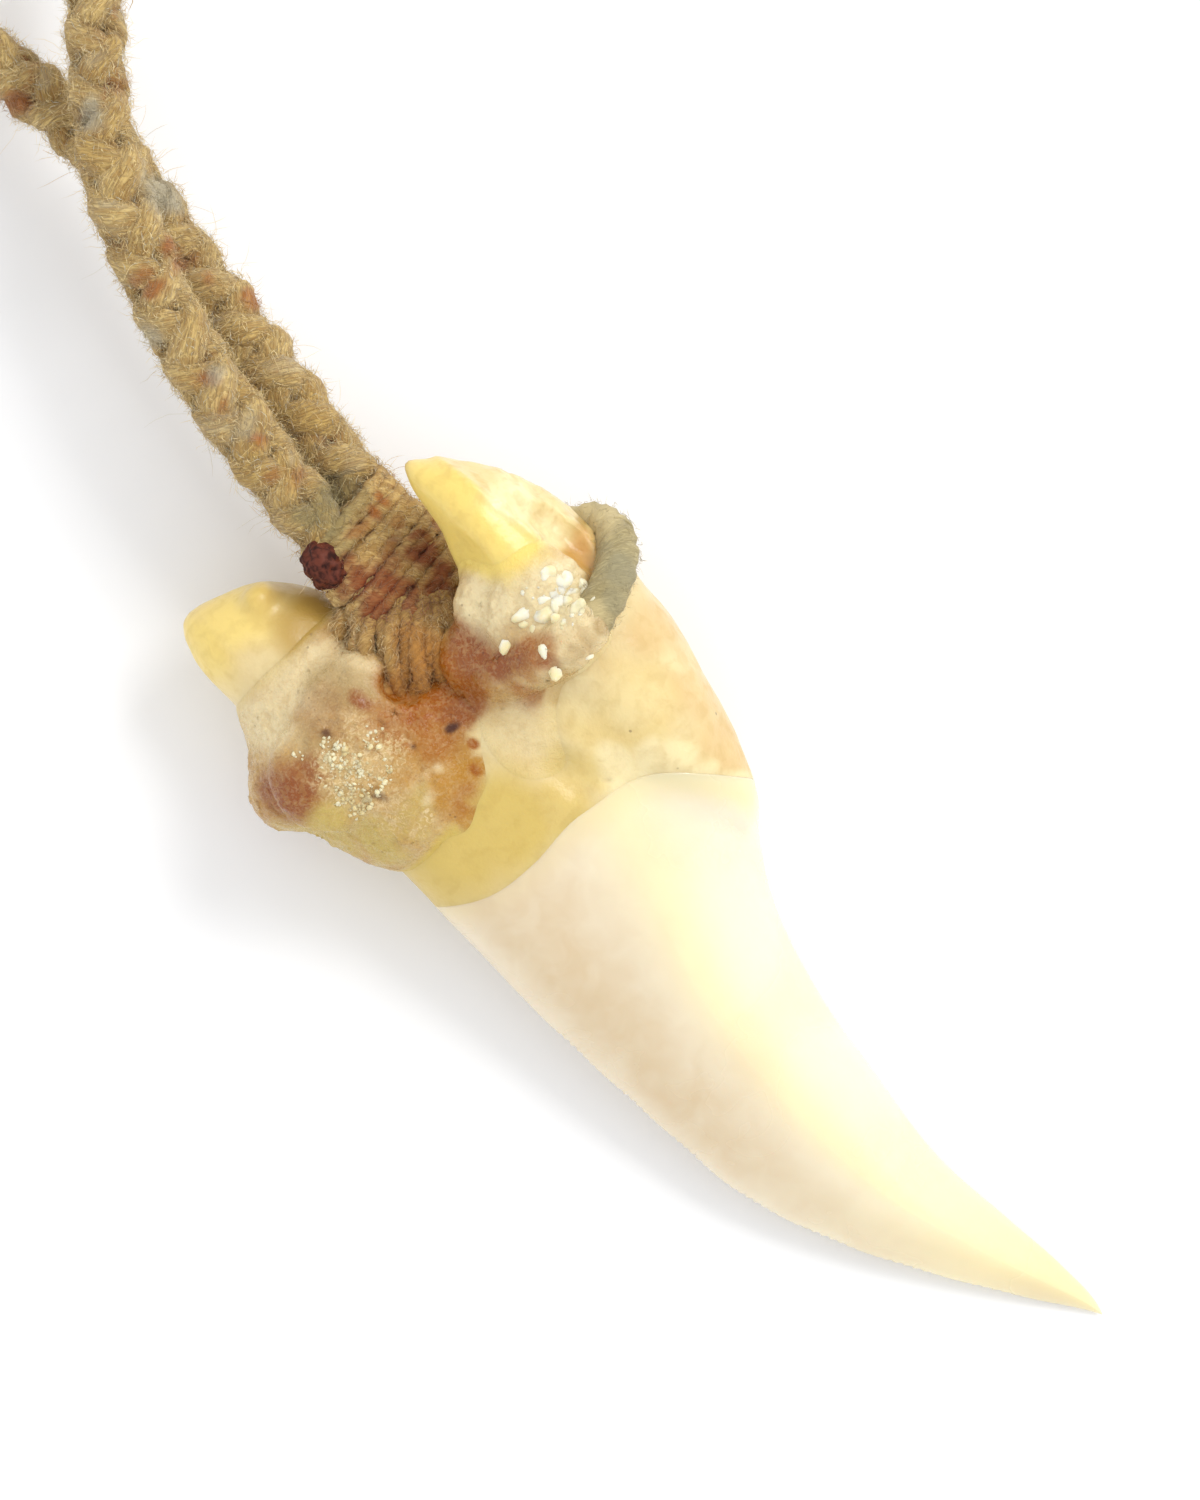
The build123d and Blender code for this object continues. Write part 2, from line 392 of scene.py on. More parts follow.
def blade_points(along, angle, edge_notch=0.0):
    """Places on the blade: superellipse |t|^n + |u|^n = 1 at an angle, t from edge to edge, skewed."""
    left, right, upper, lower, edges, upper_power, lower_power, ridge = blade_at(along)
    cosine, sine = np.cos(angle), np.sin(angle)
    power = np.where(sine >= 0, upper_power, lower_power)
    t = np.sign(cosine) * np.abs(cosine) ** (2.0 / power)
    u = np.sign(sine) * np.abs(sine) ** (2.0 / power)
    middle, half = (left + right) / 2, (right - left) / 2
    skew = ridge * (1.0 - np.abs(t))
    across = middle + half * (t + skew)
    across = across + edge_notch * np.clip(-t, 0.0, 1.0) ** 14
    up = edges + u * np.where(sine >= 0, upper, lower)
    return np.stack([across, up, along], -1)


# t from the left edge to the right edge, distance along of the enamel line above and below
ENAMEL_LINE = np.array([
    (-1.0, -0.9, -0.9),
    (-0.65, 0.45, 0.9),
    (-0.36, 0.7, 1.7),
    (0.0, 0.55, 2.1),
    (0.12, 0.75, 2.3),
    (0.26, 0.85, 2.5),
    (0.5, 1.5, 3.0),
    (0.74, 3.1, 3.8),
    (1.0, 5.3, 5.3),
])


def enamel_start(angle):
    """Distance along of the enamel line at each angle round the section."""
    line = curve_through(ENAMEL_LINE[:, 0], ENAMEL_LINE[:, 1:], np.cos(angle))
    return np.where(np.sin(angle) >= 0, line[:, 0], line[:, 1])


def blade_distance(local):
    """Rough distance to the blade in mm: how far the superellipse has to grow to meet the place."""
    left, right, upper, lower, edges, upper_power, lower_power, ridge = blade_at(local[:, 2])
    middle, half = (left + right) / 2, (right - left) / 2
    t = (local[:, 0] - middle) / half
    t = np.where(t > ridge, (t - ridge) / (1 - ridge), (t - ridge) / (1 + ridge))
    height = np.where(local[:, 1] > edges, upper, lower)
    u = (local[:, 1] - edges) / height
    power = np.where(local[:, 1] > edges, upper_power, lower_power)
    size_t, size_u = np.abs(t) + 1e-6, np.abs(u) + 1e-6
    grown = (size_t**power + size_u**power) ** (1.0 / power)
    slope_t = (size_t / grown) ** (power - 1) / half
    slope_u = (size_u / grown) ** (power - 1) / height
    flat = (grown - 1.0) / np.hypot(slope_t, slope_u)
    past = np.maximum(BLADE[0, 0] - local[:, 2], local[:, 2] - BLADE[-1, 0])
    return np.where(past > 0, np.hypot(np.maximum(flat, 0.0), past), np.maximum(flat, past))


print("blade at 10 mm", [round(float(v[0]), 2) for v in blade_at(np.array([10.0]))])

# %% [markdown]
# ## Lumps from fields
# The root and the resin have no natural rows and columns: they are lumps that run into each other.
# For those we write a field, a function that says how far any place is from the surface, with minus
# inside. Fields blend softly, so two lobes can grow out of one body. The surface is then found on
# a grid of cells: each cell that the surface crosses gets one vertex, and each grid edge that it
# crosses joins four of them to a face. Last, each vertex slides along the field's slope until it
# lies on the surface, so the grid leaves no trace.

# %% Fields
def soft_union(a, b, reach):
    """Union of two fields that blends where they are within reach: the lower one, less a rounded fillet."""
    share = np.clip(0.5 + 0.5 * (b - a) / reach, 0.0, 1.0)
    return b + (a - b) * share - reach * share * (1.0 - share)


def soft_overlap(a, b, reach):
    """What two fields share, with a rounded edge: the union turned inside out."""
    return -soft_union(-a, -b, reach)


def lump_distance(local, table):
    """Rough distance to a lump through a table of ovals: the oval there, grown to meet the place."""
    knots = table[:, 0]
    along = np.clip(local[:, 2], knots.min(), knots.max())
    across, up = curve_through(knots, table[:, 1:3], along).T
    squares = curve_through(knots, table[:, 3:5] ** 2, along)
    width, height = np.sqrt(np.maximum(squares, 0.002)).T
    x, y = local[:, 0] - across, local[:, 1] - up
    grown = np.sqrt((x / width) ** 2 + (y / height) ** 2) + 1e-6
    slope = np.hypot(x / width**2, y / height**2) / grown + 1e-6
    flat = (grown - 1.0) / slope
    past = np.abs(local[:, 2] - along)
    return np.where(past > 0, np.hypot(np.maximum(flat, 0.0), past), flat)


def ball_distance(local, centre, size):
    """Rough distance to an egg shape: the distance to its centre, measured in its own sizes."""
    away = (local - centre) / size
    grown = np.linalg.norm(away, axis=1) + 1e-6
    return (grown - 1.0) * grown / np.linalg.norm(away / size, axis=1)


def path_distance(local, path, radius):
    """Distance to a round tube along a path of points: the nearest of its straight bits, less the radius."""
    nearest = np.full(len(local), np.inf)
    for start, end in zip(path[:-1], path[1:]):
        run = end - start
        share = np.clip((local - start) @ run / (run @ run), 0.0, 1.0)
        nearest = np.minimum(nearest, np.linalg.norm(local - start - share[:, None] * run, axis=1))
    return nearest - radius


# %% Surface of a field
CORNERS = list(np.ndindex(2, 2, 2))


def middle_of_crossings(values, cells):
    """Middle of the places where the surface crosses the edges of each cell, counted in cells."""
    total, crossings = np.zeros((len(cells), 3)), np.zeros(len(cells))
    for a, axis in ((a, axis) for a in CORNERS for axis in range(3) if not a[axis]):
        ahead = np.eye(3, dtype=int)[axis]
        at_a, at_b = (values[tuple((cells + corner).T)] for corner in (a, a + ahead))
        crossed = (at_a < 0) != (at_b < 0)
        share = np.where(crossed, at_a / np.where(crossed, at_a - at_b, 1.0), 0.0)
        total += (a + share[:, None] * ahead) * crossed[:, None]
        crossings += crossed
    return cells + total / crossings[:, None]


def faces_between(inside, cells):
    """A face for each grid edge that the surface crosses: it joins the four cells round it, facing out."""
    counts = np.array(inside.shape)
    number = np.full(counts - 1, -1, np.int64)
    number[tuple(cells.T)] = np.arange(len(cells))
    faces = []
    for axis in range(3):
        u, v = (axis + 1) % 3, (axis + 2) % 3
        edge = inside != np.roll(inside, -1, axis)
        edge[tuple(slice(-1, None) if i == axis else slice(None) for i in range(3))] = False
        at = np.argwhere(edge)
        at = at[(at[:, u] > 0) & (at[:, v] > 0) & (at[:, u] < counts[u] - 1) & (at[:, v] < counts[v] - 1)]
        around = []
        for du, dv in ((1, 1), (0, 1), (0, 0), (1, 0)):
            cell = at.copy()
            cell[:, u] -= du
            cell[:, v] -= dv
            around.append(number[tuple(cell.T)])
        quads = np.stack(around, -1)
        faces.append(np.where(inside[tuple(at.T)][:, None], quads, quads[:, ::-1]))
    quads = np.concatenate(faces)
    return quads[(quads >= 0).all(1)]


def field_surface(field, low, high, step, polish=3, detail=None):
    """Vertices and faces of the surface where a field is zero, found cell by cell and then slid onto it."""
    low, high = np.asarray(low, float), np.asarray(high, float)
    counts = np.ceil((high - low) / step).astype(int) + 1
    axes = [first + step * np.arange(count) for first, count in zip(low, counts)]
    nodes = np.stack(np.meshgrid(*axes, indexing="ij"), -1)
    values = field(nodes.reshape(-1, 3)).reshape(counts)
    inside = values < 0
    blocks = [tuple(slice(c, n - 1 + c) for c, n in zip(corner, counts)) for corner in CORNERS]
    filled = sum(inside[block].astype(np.int8) for block in blocks)
    cells = np.argwhere((filled > 0) & (filled < len(CORNERS)))
    places = low + middle_of_crossings(values, cells) * step
    for _ in range(polish):
        places = slide_on(detail or field, places, step)
    return places, faces_between(inside, cells)


def slide_on(field, places, step):
    """Moves places onto a field's surface: back along its slope by its value, half a cell at most."""
    probe = step * 0.25
    value = field(places)
    slope = np.stack([field(places + probe * np.eye(3)[i]) - value for i in range(3)], -1) / probe
    move = slope * (value / np.maximum((slope**2).sum(1), 0.05))[:, None]
    size = np.linalg.norm(move, axis=1)
    return places - move * np.minimum(1.0, 0.5 * step / np.maximum(size, 1e-9))[:, None]


def surface_normals(places, quads):
    """Unit normal at each vertex: the crossed diagonals of its faces, added up."""
    a, b, c, d = (places[quads[:, i]] for i in range(4))
    flat = np.cross(c - a, d - b)
    total = np.zeros_like(places)
    for i in range(4):
        for axis in range(3):
            total[:, axis] += np.bincount(quads[:, i], flat[:, axis], len(places))
    return unit(total)


print("ball field at its surface", float(ball_distance(np.array([[2.0, 0, 0]]), (0, 0, 0), (2, 1, 1))[0]))

# %% [markdown]
# ## Root
# The root is softer and yellower than the enamel, with two lobes and a boss where they join. A groove
# runs down the boss to a small hole at the enamel line. The right lobe comes to a sharp peak: one
# smooth face looks left and a rough, hollowed one looks right, and they meet in a crest.

# %% Root
ROOT_STEP = 0.19
ROOT_SUNK = 2.2
LOBE_BLEND = 1.1
CREST_FACES = (
    # a place on the face, the way it faces, as across, up and along
    ((4.35, 6.1, -11.0), (-0.80, 0.60, -0.06)),
    ((6.2, 5.8, -11.0), (0.55, 0.83, 0.02)),
)
CREST_LINE = ((440.0, 455.0), (593.0, 575.0))

# centre, then radii in mm, each as across, up and along
BOSS = ((2.2, 3.0, -2.2), (2.6, 1.5, 2.6))
HOLLOW = ((7.5, 5.2, -8.6), (1.15, 1.3, 2.4))
KNOB = ((-5.4, 1.1, -16.5), (0.9, 1.2, 0.8))
DIP = ((-4.2, 4.3, -13.6), (1.5, 1.9, 1.7))
GROOVE = np.array([(-1.4, 5.6, -7.0), (-1.0, 5.0, -3.5), (-0.3, 4.35, -0.6)])
GROOVE_RADIUS = 0.75


def enamel_line_at(local):
    """Distance along of the enamel line under each place, from its share of the blade's width."""
    line = curve_through(ENAMEL_LINE[:, 0], ENAMEL_LINE[:, 1:], share_of_width(local, 1.0))
    over = eased(local[:, 1] - blade_at(local[:, 2])[4], -0.4, 0.4)
    return line[:, 1] + (line[:, 0] - line[:, 1]) * over


def past_crest(local):
    """Distance in mm past the crest of the right lobe, to its right as the photograph shows it."""
    (x0, y0), (x1, y1) = CREST_LINE
    across = np.array([y1 - y0, x0 - x1]) / math.hypot(x1 - x0, y1 - y0)
    return (pixel_of(in_model(local)) - CREST_LINE[0]) @ across * MM_PER_PIXEL


def rough_side(local):
    """1 on the rough face at the right of the crest, 0 on the rest of the root."""
    on_lobe = eased(-local[:, 2], 6.0, 7.5) * eased(local[:, 0], 3.0, 4.0) * eased(local[:, 1], 1.0, 2.5)
    return eased(past_crest(local), -0.15, 0.15) * on_lobe


def root_body(local):
    """Blade and lobes blended, with the boss, the groove and the two faces of the crest."""
    right_lobe = lump_distance(local, LOBE_RIGHT)
    beyond = eased(-local[:, 2], 5.5, 9.5)
    for place, facing in CREST_FACES:
        face = (local - place) @ unit(np.array(facing))
        cut = soft_overlap(right_lobe, face - 3.0 * (1 - beyond), 0.15)
        right_lobe = np.where(beyond > 0, cut, right_lobe)
    body = soft_union(blade_distance(local), lump_distance(local, LOBE_LEFT), LOBE_BLEND)
    body = soft_union(body, right_lobe, LOBE_BLEND)
    body = soft_union(body, ball_distance(local, *BOSS), 0.9)
    body = soft_overlap(body, -path_distance(local, GROOVE, GROOVE_RADIUS), 0.9)
    body = soft_overlap(body, -ball_distance(local, *HOLLOW), 0.4)
    body = soft_union(body, ball_distance(local, *KNOB), 0.6)
    return soft_overlap(body, -ball_distance(local, *DIP), 0.8)


def root_field(local):
    """The root's body, sunk under the enamel past the enamel line."""
    past_line = local[:, 2] - enamel_line_at(local)
    return root_body(local) + ROOT_SUNK * eased(past_line, 0.1, 1.6)


# %% Root surface
# heights and sizes in mm
WAVES, WAVE_SIZE = 0.11, 2.6
GRAIN, ROUGH_GRAIN, GRAIN_SIZE = 0.012, 0.1, 0.8
CREST_RIDGE, RIDGE_WIDTH = 0.22, 0.35
ROUGH_SUNK = 0.25
PITS = (
    # across, up and along of each pore, radius
    ((0.55, 3.95, 0.25), 0.22), ((6.35, 5.6, -12.3), 0.17), ((7.0, 5.5, -10.4), 0.2),
    ((6.6, 5.4, -9.4), 0.3), ((7.3, 4.9, -9.9), 0.16),
)


def root_detail(local):
    """The root with its waves, its rough face and its pores."""
    settled = 1.0 - eased(local[:, 2] - enamel_line_at(local), -2.4, -0.2)
    waves = WAVES * settled * layered_noise(local, WAVE_SIZE, 2, seed=11)
    rough = rough_side(local)
    grain = (GRAIN * settled + ROUGH_GRAIN * rough) * layered_noise(local, GRAIN_SIZE, 3, seed=21)
    ridge = CREST_RIDGE * np.exp(-((past_crest(local) / RIDGE_WIDTH) ** 2)) * eased(-local[:, 2], 6.0, 7.5)
    field = root_field(local) + waves + grain - ridge + ROUGH_SUNK * rough
    for centre, radius in PITS:
        field = np.maximum(field, -ball_distance(local, centre, (radius,) * 3))
    return field


root_local, root_quads = field_surface(
    root_field, (-11.5, -4.0, -19.6), (9.5, 8.0, 7.2), ROOT_STEP, detail=root_detail
)
root_masks = {"rough_side": rough_side(root_local)}
fang_root = add_piece("fang_root", "enamel", "fang", in_model(root_local), root_quads, masks=root_masks)

# %% [markdown]
# ## Enamel
# The enamel is a hard glossy cap over the blade. Its line with the root swings down at the right, and
# it stands a hair proud of the root there. Here the cap is a grid: columns run round the section and
# rows run from the enamel line to the point. The left edge is cut into fine teeth, and a few rows turn
# in under the root so that the step at the line is closed. Where the root swells, the grid is lifted
# onto it.

# %% Enamel cap
ENAMEL_ROWS, ENAMEL_COLUMNS = 320, 116
ENAMEL_PROUD = 0.015
SERRATION_PITCH, SERRATION_DEPTH = 0.42, 0.13
POINT_REACH = 0.02
TURNED_IN = ((2.2, 0.22), (0.9, 0.11), (0.25, 0.035), (0.06, 0.008))  # mm behind the line, shrunk by


def over_root(local, angle):
    """Lifts the enamel near its line, along the blade's own normal, flush onto the swollen root."""
    share = 1.0 - eased(local[:, 2] - enamel_line_at(local), 1.2, 4.0)
    left, right, upper, *_ = blade_at(local[:, 2])
    outward = unit(np.stack([np.cos(angle) * 2 / (right - left), np.sin(angle) / upper, 0 * angle], -1))
    near = share > 0.0
    start, outward = local[near], outward[near]
    lifted = start.copy()
    for _ in range(8):
        value = root_body(lifted) - ENAMEL_PROUD
        slope = (root_body(lifted + 0.05 * outward) - ENAMEL_PROUD - value) / 0.05
        lifted -= outward * np.clip(value / np.maximum(slope, 0.4), -0.4, 0.4)[:, None]
    local[near] = start + share[near, None] * (lifted - start)
    return local


def enamel_cap():
    """Grid from the enamel line to the point, with rows turned in at the line and a closed end."""
    angle = full_turn(ENAMEL_COLUMNS)
    start = enamel_start(angle)
    share = np.linspace(0.0, 1.0, ENAMEL_ROWS)
    share = np.where(share > 0.9, 0.9 + (1 - (1 - (share - 0.9) / 0.1) ** 1.6) * 0.1, share)
    tip = BLADE[-1, 0]
    along = start[None, :] + share[:, None] * (tip - start[None, :])
    angles = np.broadcast_to(angle, along.shape).ravel()
    saw = np.abs((along / SERRATION_PITCH) % 1.0 - 0.5) * 2.0
    depth = SERRATION_DEPTH * eased(along, 4.0, 8.0) * eased(tip - along, 0.5, 6.0)
    notch = depth * (0.6 + 0.4 * np.sin(along * 1.7)) * saw
    local = blade_points(along.ravel(), angles, notch.ravel())
    waves = 0.035 * layered_noise(local * [1.0, 1.0, 0.35], 3.0, 2, seed=5)
    outward = np.stack([np.cos(angles), np.sin(angles)], -1)
    local[:, :2] += outward * (waves * np.abs(np.sin(angles)) ** 0.5)[:, None]
    local = over_root(local, angles)
    rows = local.reshape(ENAMEL_ROWS, ENAMEL_COLUMNS, 3)
    turned_in = []
    for back, shrink in TURNED_IN:
        ring = blade_points(start - back, angle)
        left, right, _, _, edges, *_ = blade_at(start - back)
        centre = np.stack([(left + right) / 2, edges, start - back], -1)
        turned_in.append(centre + (ring - centre) * (1 - shrink))
    rows = np.concatenate([np.stack(turned_in), rows])
    places = tube_places(rows)
    places[-1, 2] += POINT_REACH
    return places, tube_faces(len(rows), ENAMEL_COLUMNS)[:2]


enamel_local, enamel_faces = enamel_cap()
enamel = add_piece("enamel", "enamel", "fang", in_model(enamel_local), *enamel_faces)

# %% [markdown]
# ## Lines to carry a profile along
# A cord is a profile carried along a line. The line of each half of the neck cord is a smooth spline
# over the points of its route, read back and walked in small steps. Each step needs a side and an up
# direction square to the line. Side is level, so the cord doesn't twist by accident. Yarn is never
# quite smooth, so the rings are then pushed out and in by a little noise.

# %% Lines and profiles
LEG_RIGHT = [
    (-2.4, -97.6, 8.0), (-1.6, -84.4, 8.2), (2.6, -73.2, 9.1), (9.4, -65.6, 8.0),
    (21.5, -55.0, 4.0), (44.9, -36.1, 1.55), (72.9, -6.6, 1.55), (89.8, 39.0, 1.55),
    (85.0, 89.0, 1.55), (54.0, 134.0, 1.55), (8.0, 139.0, 1.55),
]
LEG_LEFT = [
    (0.1, -97.7, 6.1), (1.3, -84.5, 6.0), (3.6, -72.8, 4.8), (2.2, -60.8, 3.0),
    (-9.5, -42.6, 1.55), (-38.0, -21.0, 1.55), (-72.0, 10.5, 1.55), (-91.6, 55.3, 1.55),
    (-79.0, 107.0, 1.55), (-38.0, 144.0, 1.55), (8.0, 139.0, 1.55),
]
SPLINE_STEPS = 24


def spline_line(points):
    """Points in mm along the smooth spline whose control points are given, as Blender works it out."""
    curve = bpy.data.curves.new("route", "CURVE")
    curve.dimensions = "3D"
    spline = curve.splines.new("NURBS")
    spline.points.add(len(points) - 1)
    for control, place in zip(spline.points, points):
        control.co = (place[0] * MM, place[1] * MM, place[2] * MM, 1.0)
    spline.order_u = 3
    spline.use_endpoint_u = True
    spline.resolution_u = SPLINE_STEPS
    holder = bpy.data.objects.new("route", curve)
    mesh = bpy.data.meshes.new_from_object(holder)
    line = np.empty(len(mesh.vertices) * 3)
    mesh.vertices.foreach_get("co", line)
    bpy.data.objects.remove(holder)
    bpy.data.curves.remove(curve)
    bpy.data.meshes.remove(mesh)
    return line.reshape(-1, 3) / MM


def line_length(line):
    """Distance along a line at each of its points."""
    return np.concatenate([[0.0], np.cumsum(np.linalg.norm(np.diff(line, axis=0), axis=1))])


def frame_along(line, reference=(0.0, 0.0, 1.0)):
    """Side and up along a line: side is square to the line and the reference, up is square to both."""
    forward = unit(np.gradient(line, axis=0))
    side = unit(np.cross(reference, forward))
    return side, np.cross(forward, side)


def carried(line, side, up, across, rise):
    """Rings of a profile along a line: the line's place, plus side and up times the profile there."""
    return line[:, None] + side[:, None] * across[..., None] + up[:, None] * rise[..., None]


def yarn_places(reach, turned, radius):
    """Where each vertex of a tube would be, in metres, if the yarn lay straight and untwisted."""
    along = np.broadcast_to(reach[:, None], turned.shape)
    straight = np.stack([radius * np.cos(turned), radius * np.sin(turned), along], -1)
    middle = [(0.0, 0.0, reach[0]), (0.0, 0.0, reach[-1])]
    return np.concatenate([straight.reshape(-1, 3), middle]) * MM


def roughened(rings, middle, height, size, layers, seed):
    """Rings of a tube pushed away from its middle line by a noise of that height and size."""
    flat = rings.reshape(-1, 3)
    outward = unit(flat - np.repeat(middle, rings.shape[1], axis=0))
    noise = height * layered_noise(flat, size, layers, seed)
    return (flat + outward * noise[:, None]).reshape(rings.shape)


def noise_along(at, size, seed, y=0.0, z=0.0):
    """Smooth random value for each distance along a line."""
    return smooth_noise(np.stack([at, np.full_like(at, y), np.full_like(at, z)], -1), size, seed)


def add_tubes(name, slot, node, tubes, masks=None):
    """One piece from several closed tubes, each given as an array of rings."""
    parts, start = [], 0
    for rings in tubes:
        quads, triangles, count = tube_faces(len(rings), rings.shape[1], start)
        parts.append((tube_places(rings), quads, triangles))
        start += count
    return add_piece(name, slot, node, *map(np.concatenate, zip(*parts)), masks)


route_right, route_left = spline_line(LEG_RIGHT), spline_line(LEG_LEFT)
print("cord lines", round(line_length(route_right)[-1], 1), round(line_length(route_left)[-1], 1), "mm")

# %% [markdown]
# ## Plaited cord
# The cord is a round plait of four soft strands. Two of them wind one way and two the other, and each
# goes over one and under the next. So a strand's angle round the cord grows with the distance along,
# and its distance from the middle swings out where it goes over and in where it goes under. The
# strand is an oval of yarn, wider than thick, with ridges that follow its own twist.
# Near the tooth the steps are fine, and along the rest of the loop they are coarser.

# %% Plait
PLAIT_TURN = 5.3
STRAND_MIDDLE, STRAND_SWING = 0.76, 0.16
STRAND_WIDE, STRAND_THICK, STRAND_RIDGES = 0.86, 0.66, 0.05
STRAND_TWIST = 9.3
STRAND_NOISE, YARN_SIZE = 0.13, 0.8
STRAND_SIDES = 16
FINE_LENGTH, FINE_STEP, COARSE_STEP = 34.0, 0.16, 0.62
REST_HEIGHT = 0.03


def walked(line):
    """Line in fine steps near its start and coarse ones after, with the distance along at each."""
    reach = line_length(line)
    steps = np.concatenate([
        np.arange(0.0, FINE_LENGTH, FINE_STEP),
        np.arange(FINE_LENGTH, reach[-1], COARSE_STEP),
        [reach[-1]],
    ])
    return curve_through(reach, line, steps), steps


def plait_strand(line, steps, turn, number):
    """Rings of one strand: an oval that circles the line, out and in by the sine of twice the angle."""
    side, up = frame_along(line)
    way = 1.0 if number < 2 else -1.0
    phase = steps * 2 * np.pi / PLAIT_TURN
    drift = turn + 0.9 * np.sin(steps / 23.0 + turn)
    angle = way * phase + drift + (number % 2) * np.pi + (number // 2) * np.pi / 2
    loose = 1.0 + 0.1 * noise_along(steps, 4.0, 31, z=number)
    out = (STRAND_MIDDLE + way * STRAND_SWING * np.sin(2 * phase)) * loose
    radial = side * np.cos(angle)[:, None] + up * np.sin(angle)[:, None]
    centre = line + radial * out[:, None]
    along = unit(np.gradient(centre, steps, axis=0))
    radial = unit(radial - along * (radial * along).sum(1)[:, None])
    wide = np.cross(radial, along)
    around = full_turn(STRAND_SIDES)[None, :]
    turned = around + steps[:, None] * 2 * np.pi / STRAND_TWIST
    size = (1.0 + STRAND_RIDGES * np.cos(4 * turned)) * loose[:, None]
    across, rise = STRAND_WIDE * np.cos(around) * size, STRAND_THICK * np.sin(around) * size
    rings = carried(centre, wide, radial, across, rise)
    rings = roughened(rings, centre, STRAND_NOISE, YARN_SIZE, 3, 41 + number)
    rings[..., 2] = np.maximum(rings[..., 2], REST_HEIGHT)
    return rings, yarn_places(steps + 900.0 * number, turned, STRAND_WIDE)


def recess_shade_mask(rings, line):
    """How deep each vertex lies in the cord, for painted shade: 0 at its outside, 1 near its middle."""
    away = np.linalg.norm(rings - line[:, None], axis=-1)
    deep = 1.0 - eased(away, 0.95, 1.42)
    return np.concatenate([deep.ravel(), [1.0, 1.0]])


def plait(name, node, route, turn):
    """Neck cord of four strands, with each strand's rings and the cord's line for its loose fibres."""
    line, steps = walked(route)
    strands, yarns = zip(*(plait_strand(line, steps, turn, number) for number in range(4)))
    masks = {
        "yarn": np.concatenate(yarns),
        # painted shade deep between the strands
        "depth": np.concatenate([recess_shade_mask(rings, line) for rings in strands]),
    }
    piece = add_tubes(name, "neck_cord", node, strands, masks)
    return piece, [(rings, line) for rings in strands]


cord_right, strands_right = plait("plait_right", "cord_right", route_right, 0.5)
cord_left, strands_left = plait("plait_left", "cord_left", route_left, 2.1)

# %% [markdown]
# ## Ties round the lobes
# Each tie is a short twisted cord in a ring round one lobe of the root. Its neck goes up under the
# binding. A twisted cord is a profile with three bulges that turns as it goes, carried round
# an oval ring. The right ring leans towards the point, as the photograph shows.

# %% Ties
TIE_RADIUS = 0.95
TIE_TWIST = 4.6
TIE_SIDES = 24
TIE_STEP = 0.12
TIE_NOISE = 0.05
UPWARDS = (0.0, 0.0, 1.0)
FRAYED_TWIST, FRAYED_SIDES, FRAYED_BULGE = 1.7, 16, 0.14

# along, across, up, half width, half height, lean in radians
RING_LEFT = (-9.9, -6.55, 0.1, 4.25, 3.85, 0.0)
RING_RIGHT = (-7.3, 4.6, 2.4, 3.85, 4.8, math.radians(22.0))
TIE_NECK_LEFT = [(-4.6, -99.6, 7.0), (-3.4, -98.6, 7.9), (-2.2, -97.0, 7.6), (-1.6, -95.5, 7.4)]
TIE_NECK_RIGHT = [(-0.9, -101.6, 7.9), (-0.6, -99.6, 7.8), (-0.2, -97.4, 6.8), (-0.2, -95.5, 6.8)]


def ring_line(along, across, up, half_width, half_height, lean, count=220, first=0.0, last=360.0):
    """Oval round a lobe in tooth coordinates: cosine across, sine up, tilted along by the lean."""
    angle = np.linspace(math.radians(first), math.radians(last), count)
    rise = half_height * np.sin(angle)
    side = across + half_width * np.cos(angle)
    return in_model(np.stack([side, up + rise * math.cos(lean), along + rise * math.sin(lean)], -1))


def twisted(line, reference, radius, twist, sides, bulge=0.05, seed=51):
    """Rings of a twisted cord: a circle with three bulges that turn with the distance along."""
    reach = line_length(line)
    side, up = frame_along(line, reference)
    around = full_turn(sides)[None, :]
    turned = around - reach[:, None] * 2 * np.pi / twist
    size = radius * (1.0 - bulge + bulge * np.abs(np.cos(1.5 * turned)) * 1.6)
    size = size * (1.0 + 0.035 * np.cos(9 * turned + reach[:, None] * 6.0))
    rings = carried(line, side, up, size * np.cos(around), size * np.sin(around))
    return roughened(rings, line, TIE_NOISE, YARN_SIZE, 2, seed), yarn_places(reach, turned, radius)


def walked_evenly(points, step):
    """Smooth line through a few points, in equal steps."""
    points = np.asarray(points, float)
    reach = line_length(points)
    fine = curve_through(reach, points, np.linspace(0.0, reach[-1], 60))
    reach = line_length(fine)
    return curve_through(reach, fine, np.linspace(0.0, reach[-1], max(8, int(reach[-1] / step))))


def lobe_tie(name, node, ring, neck):
    """Ring round the lobe and the neck that goes up into the binding."""
    loop = ring_line(*ring)
    loop_rings, loop_yarn = twisted(loop, FANG_AXES[2], TIE_RADIUS, TIE_TWIST, TIE_SIDES)
    neck_line = walked_evenly(neck, TIE_STEP)
    neck_rings, neck_yarn = twisted(neck_line, UPWARDS, TIE_RADIUS * 0.9, TIE_TWIST, TIE_SIDES, seed=57)
    masks = {"yarn": np.concatenate([loop_yarn, neck_yarn])}
    return add_tubes(name, "tie_cord", node, [loop_rings, neck_rings], masks), loop_rings, neck_rings


tie_left, _, neck_left = lobe_tie("tie_twist_left", "lobe_tie_left", RING_LEFT, TIE_NECK_LEFT)
tie_right, loop_right, neck_right = lobe_tie("tie_twist_right", "lobe_tie_right", RING_RIGHT, TIE_NECK_RIGHT)

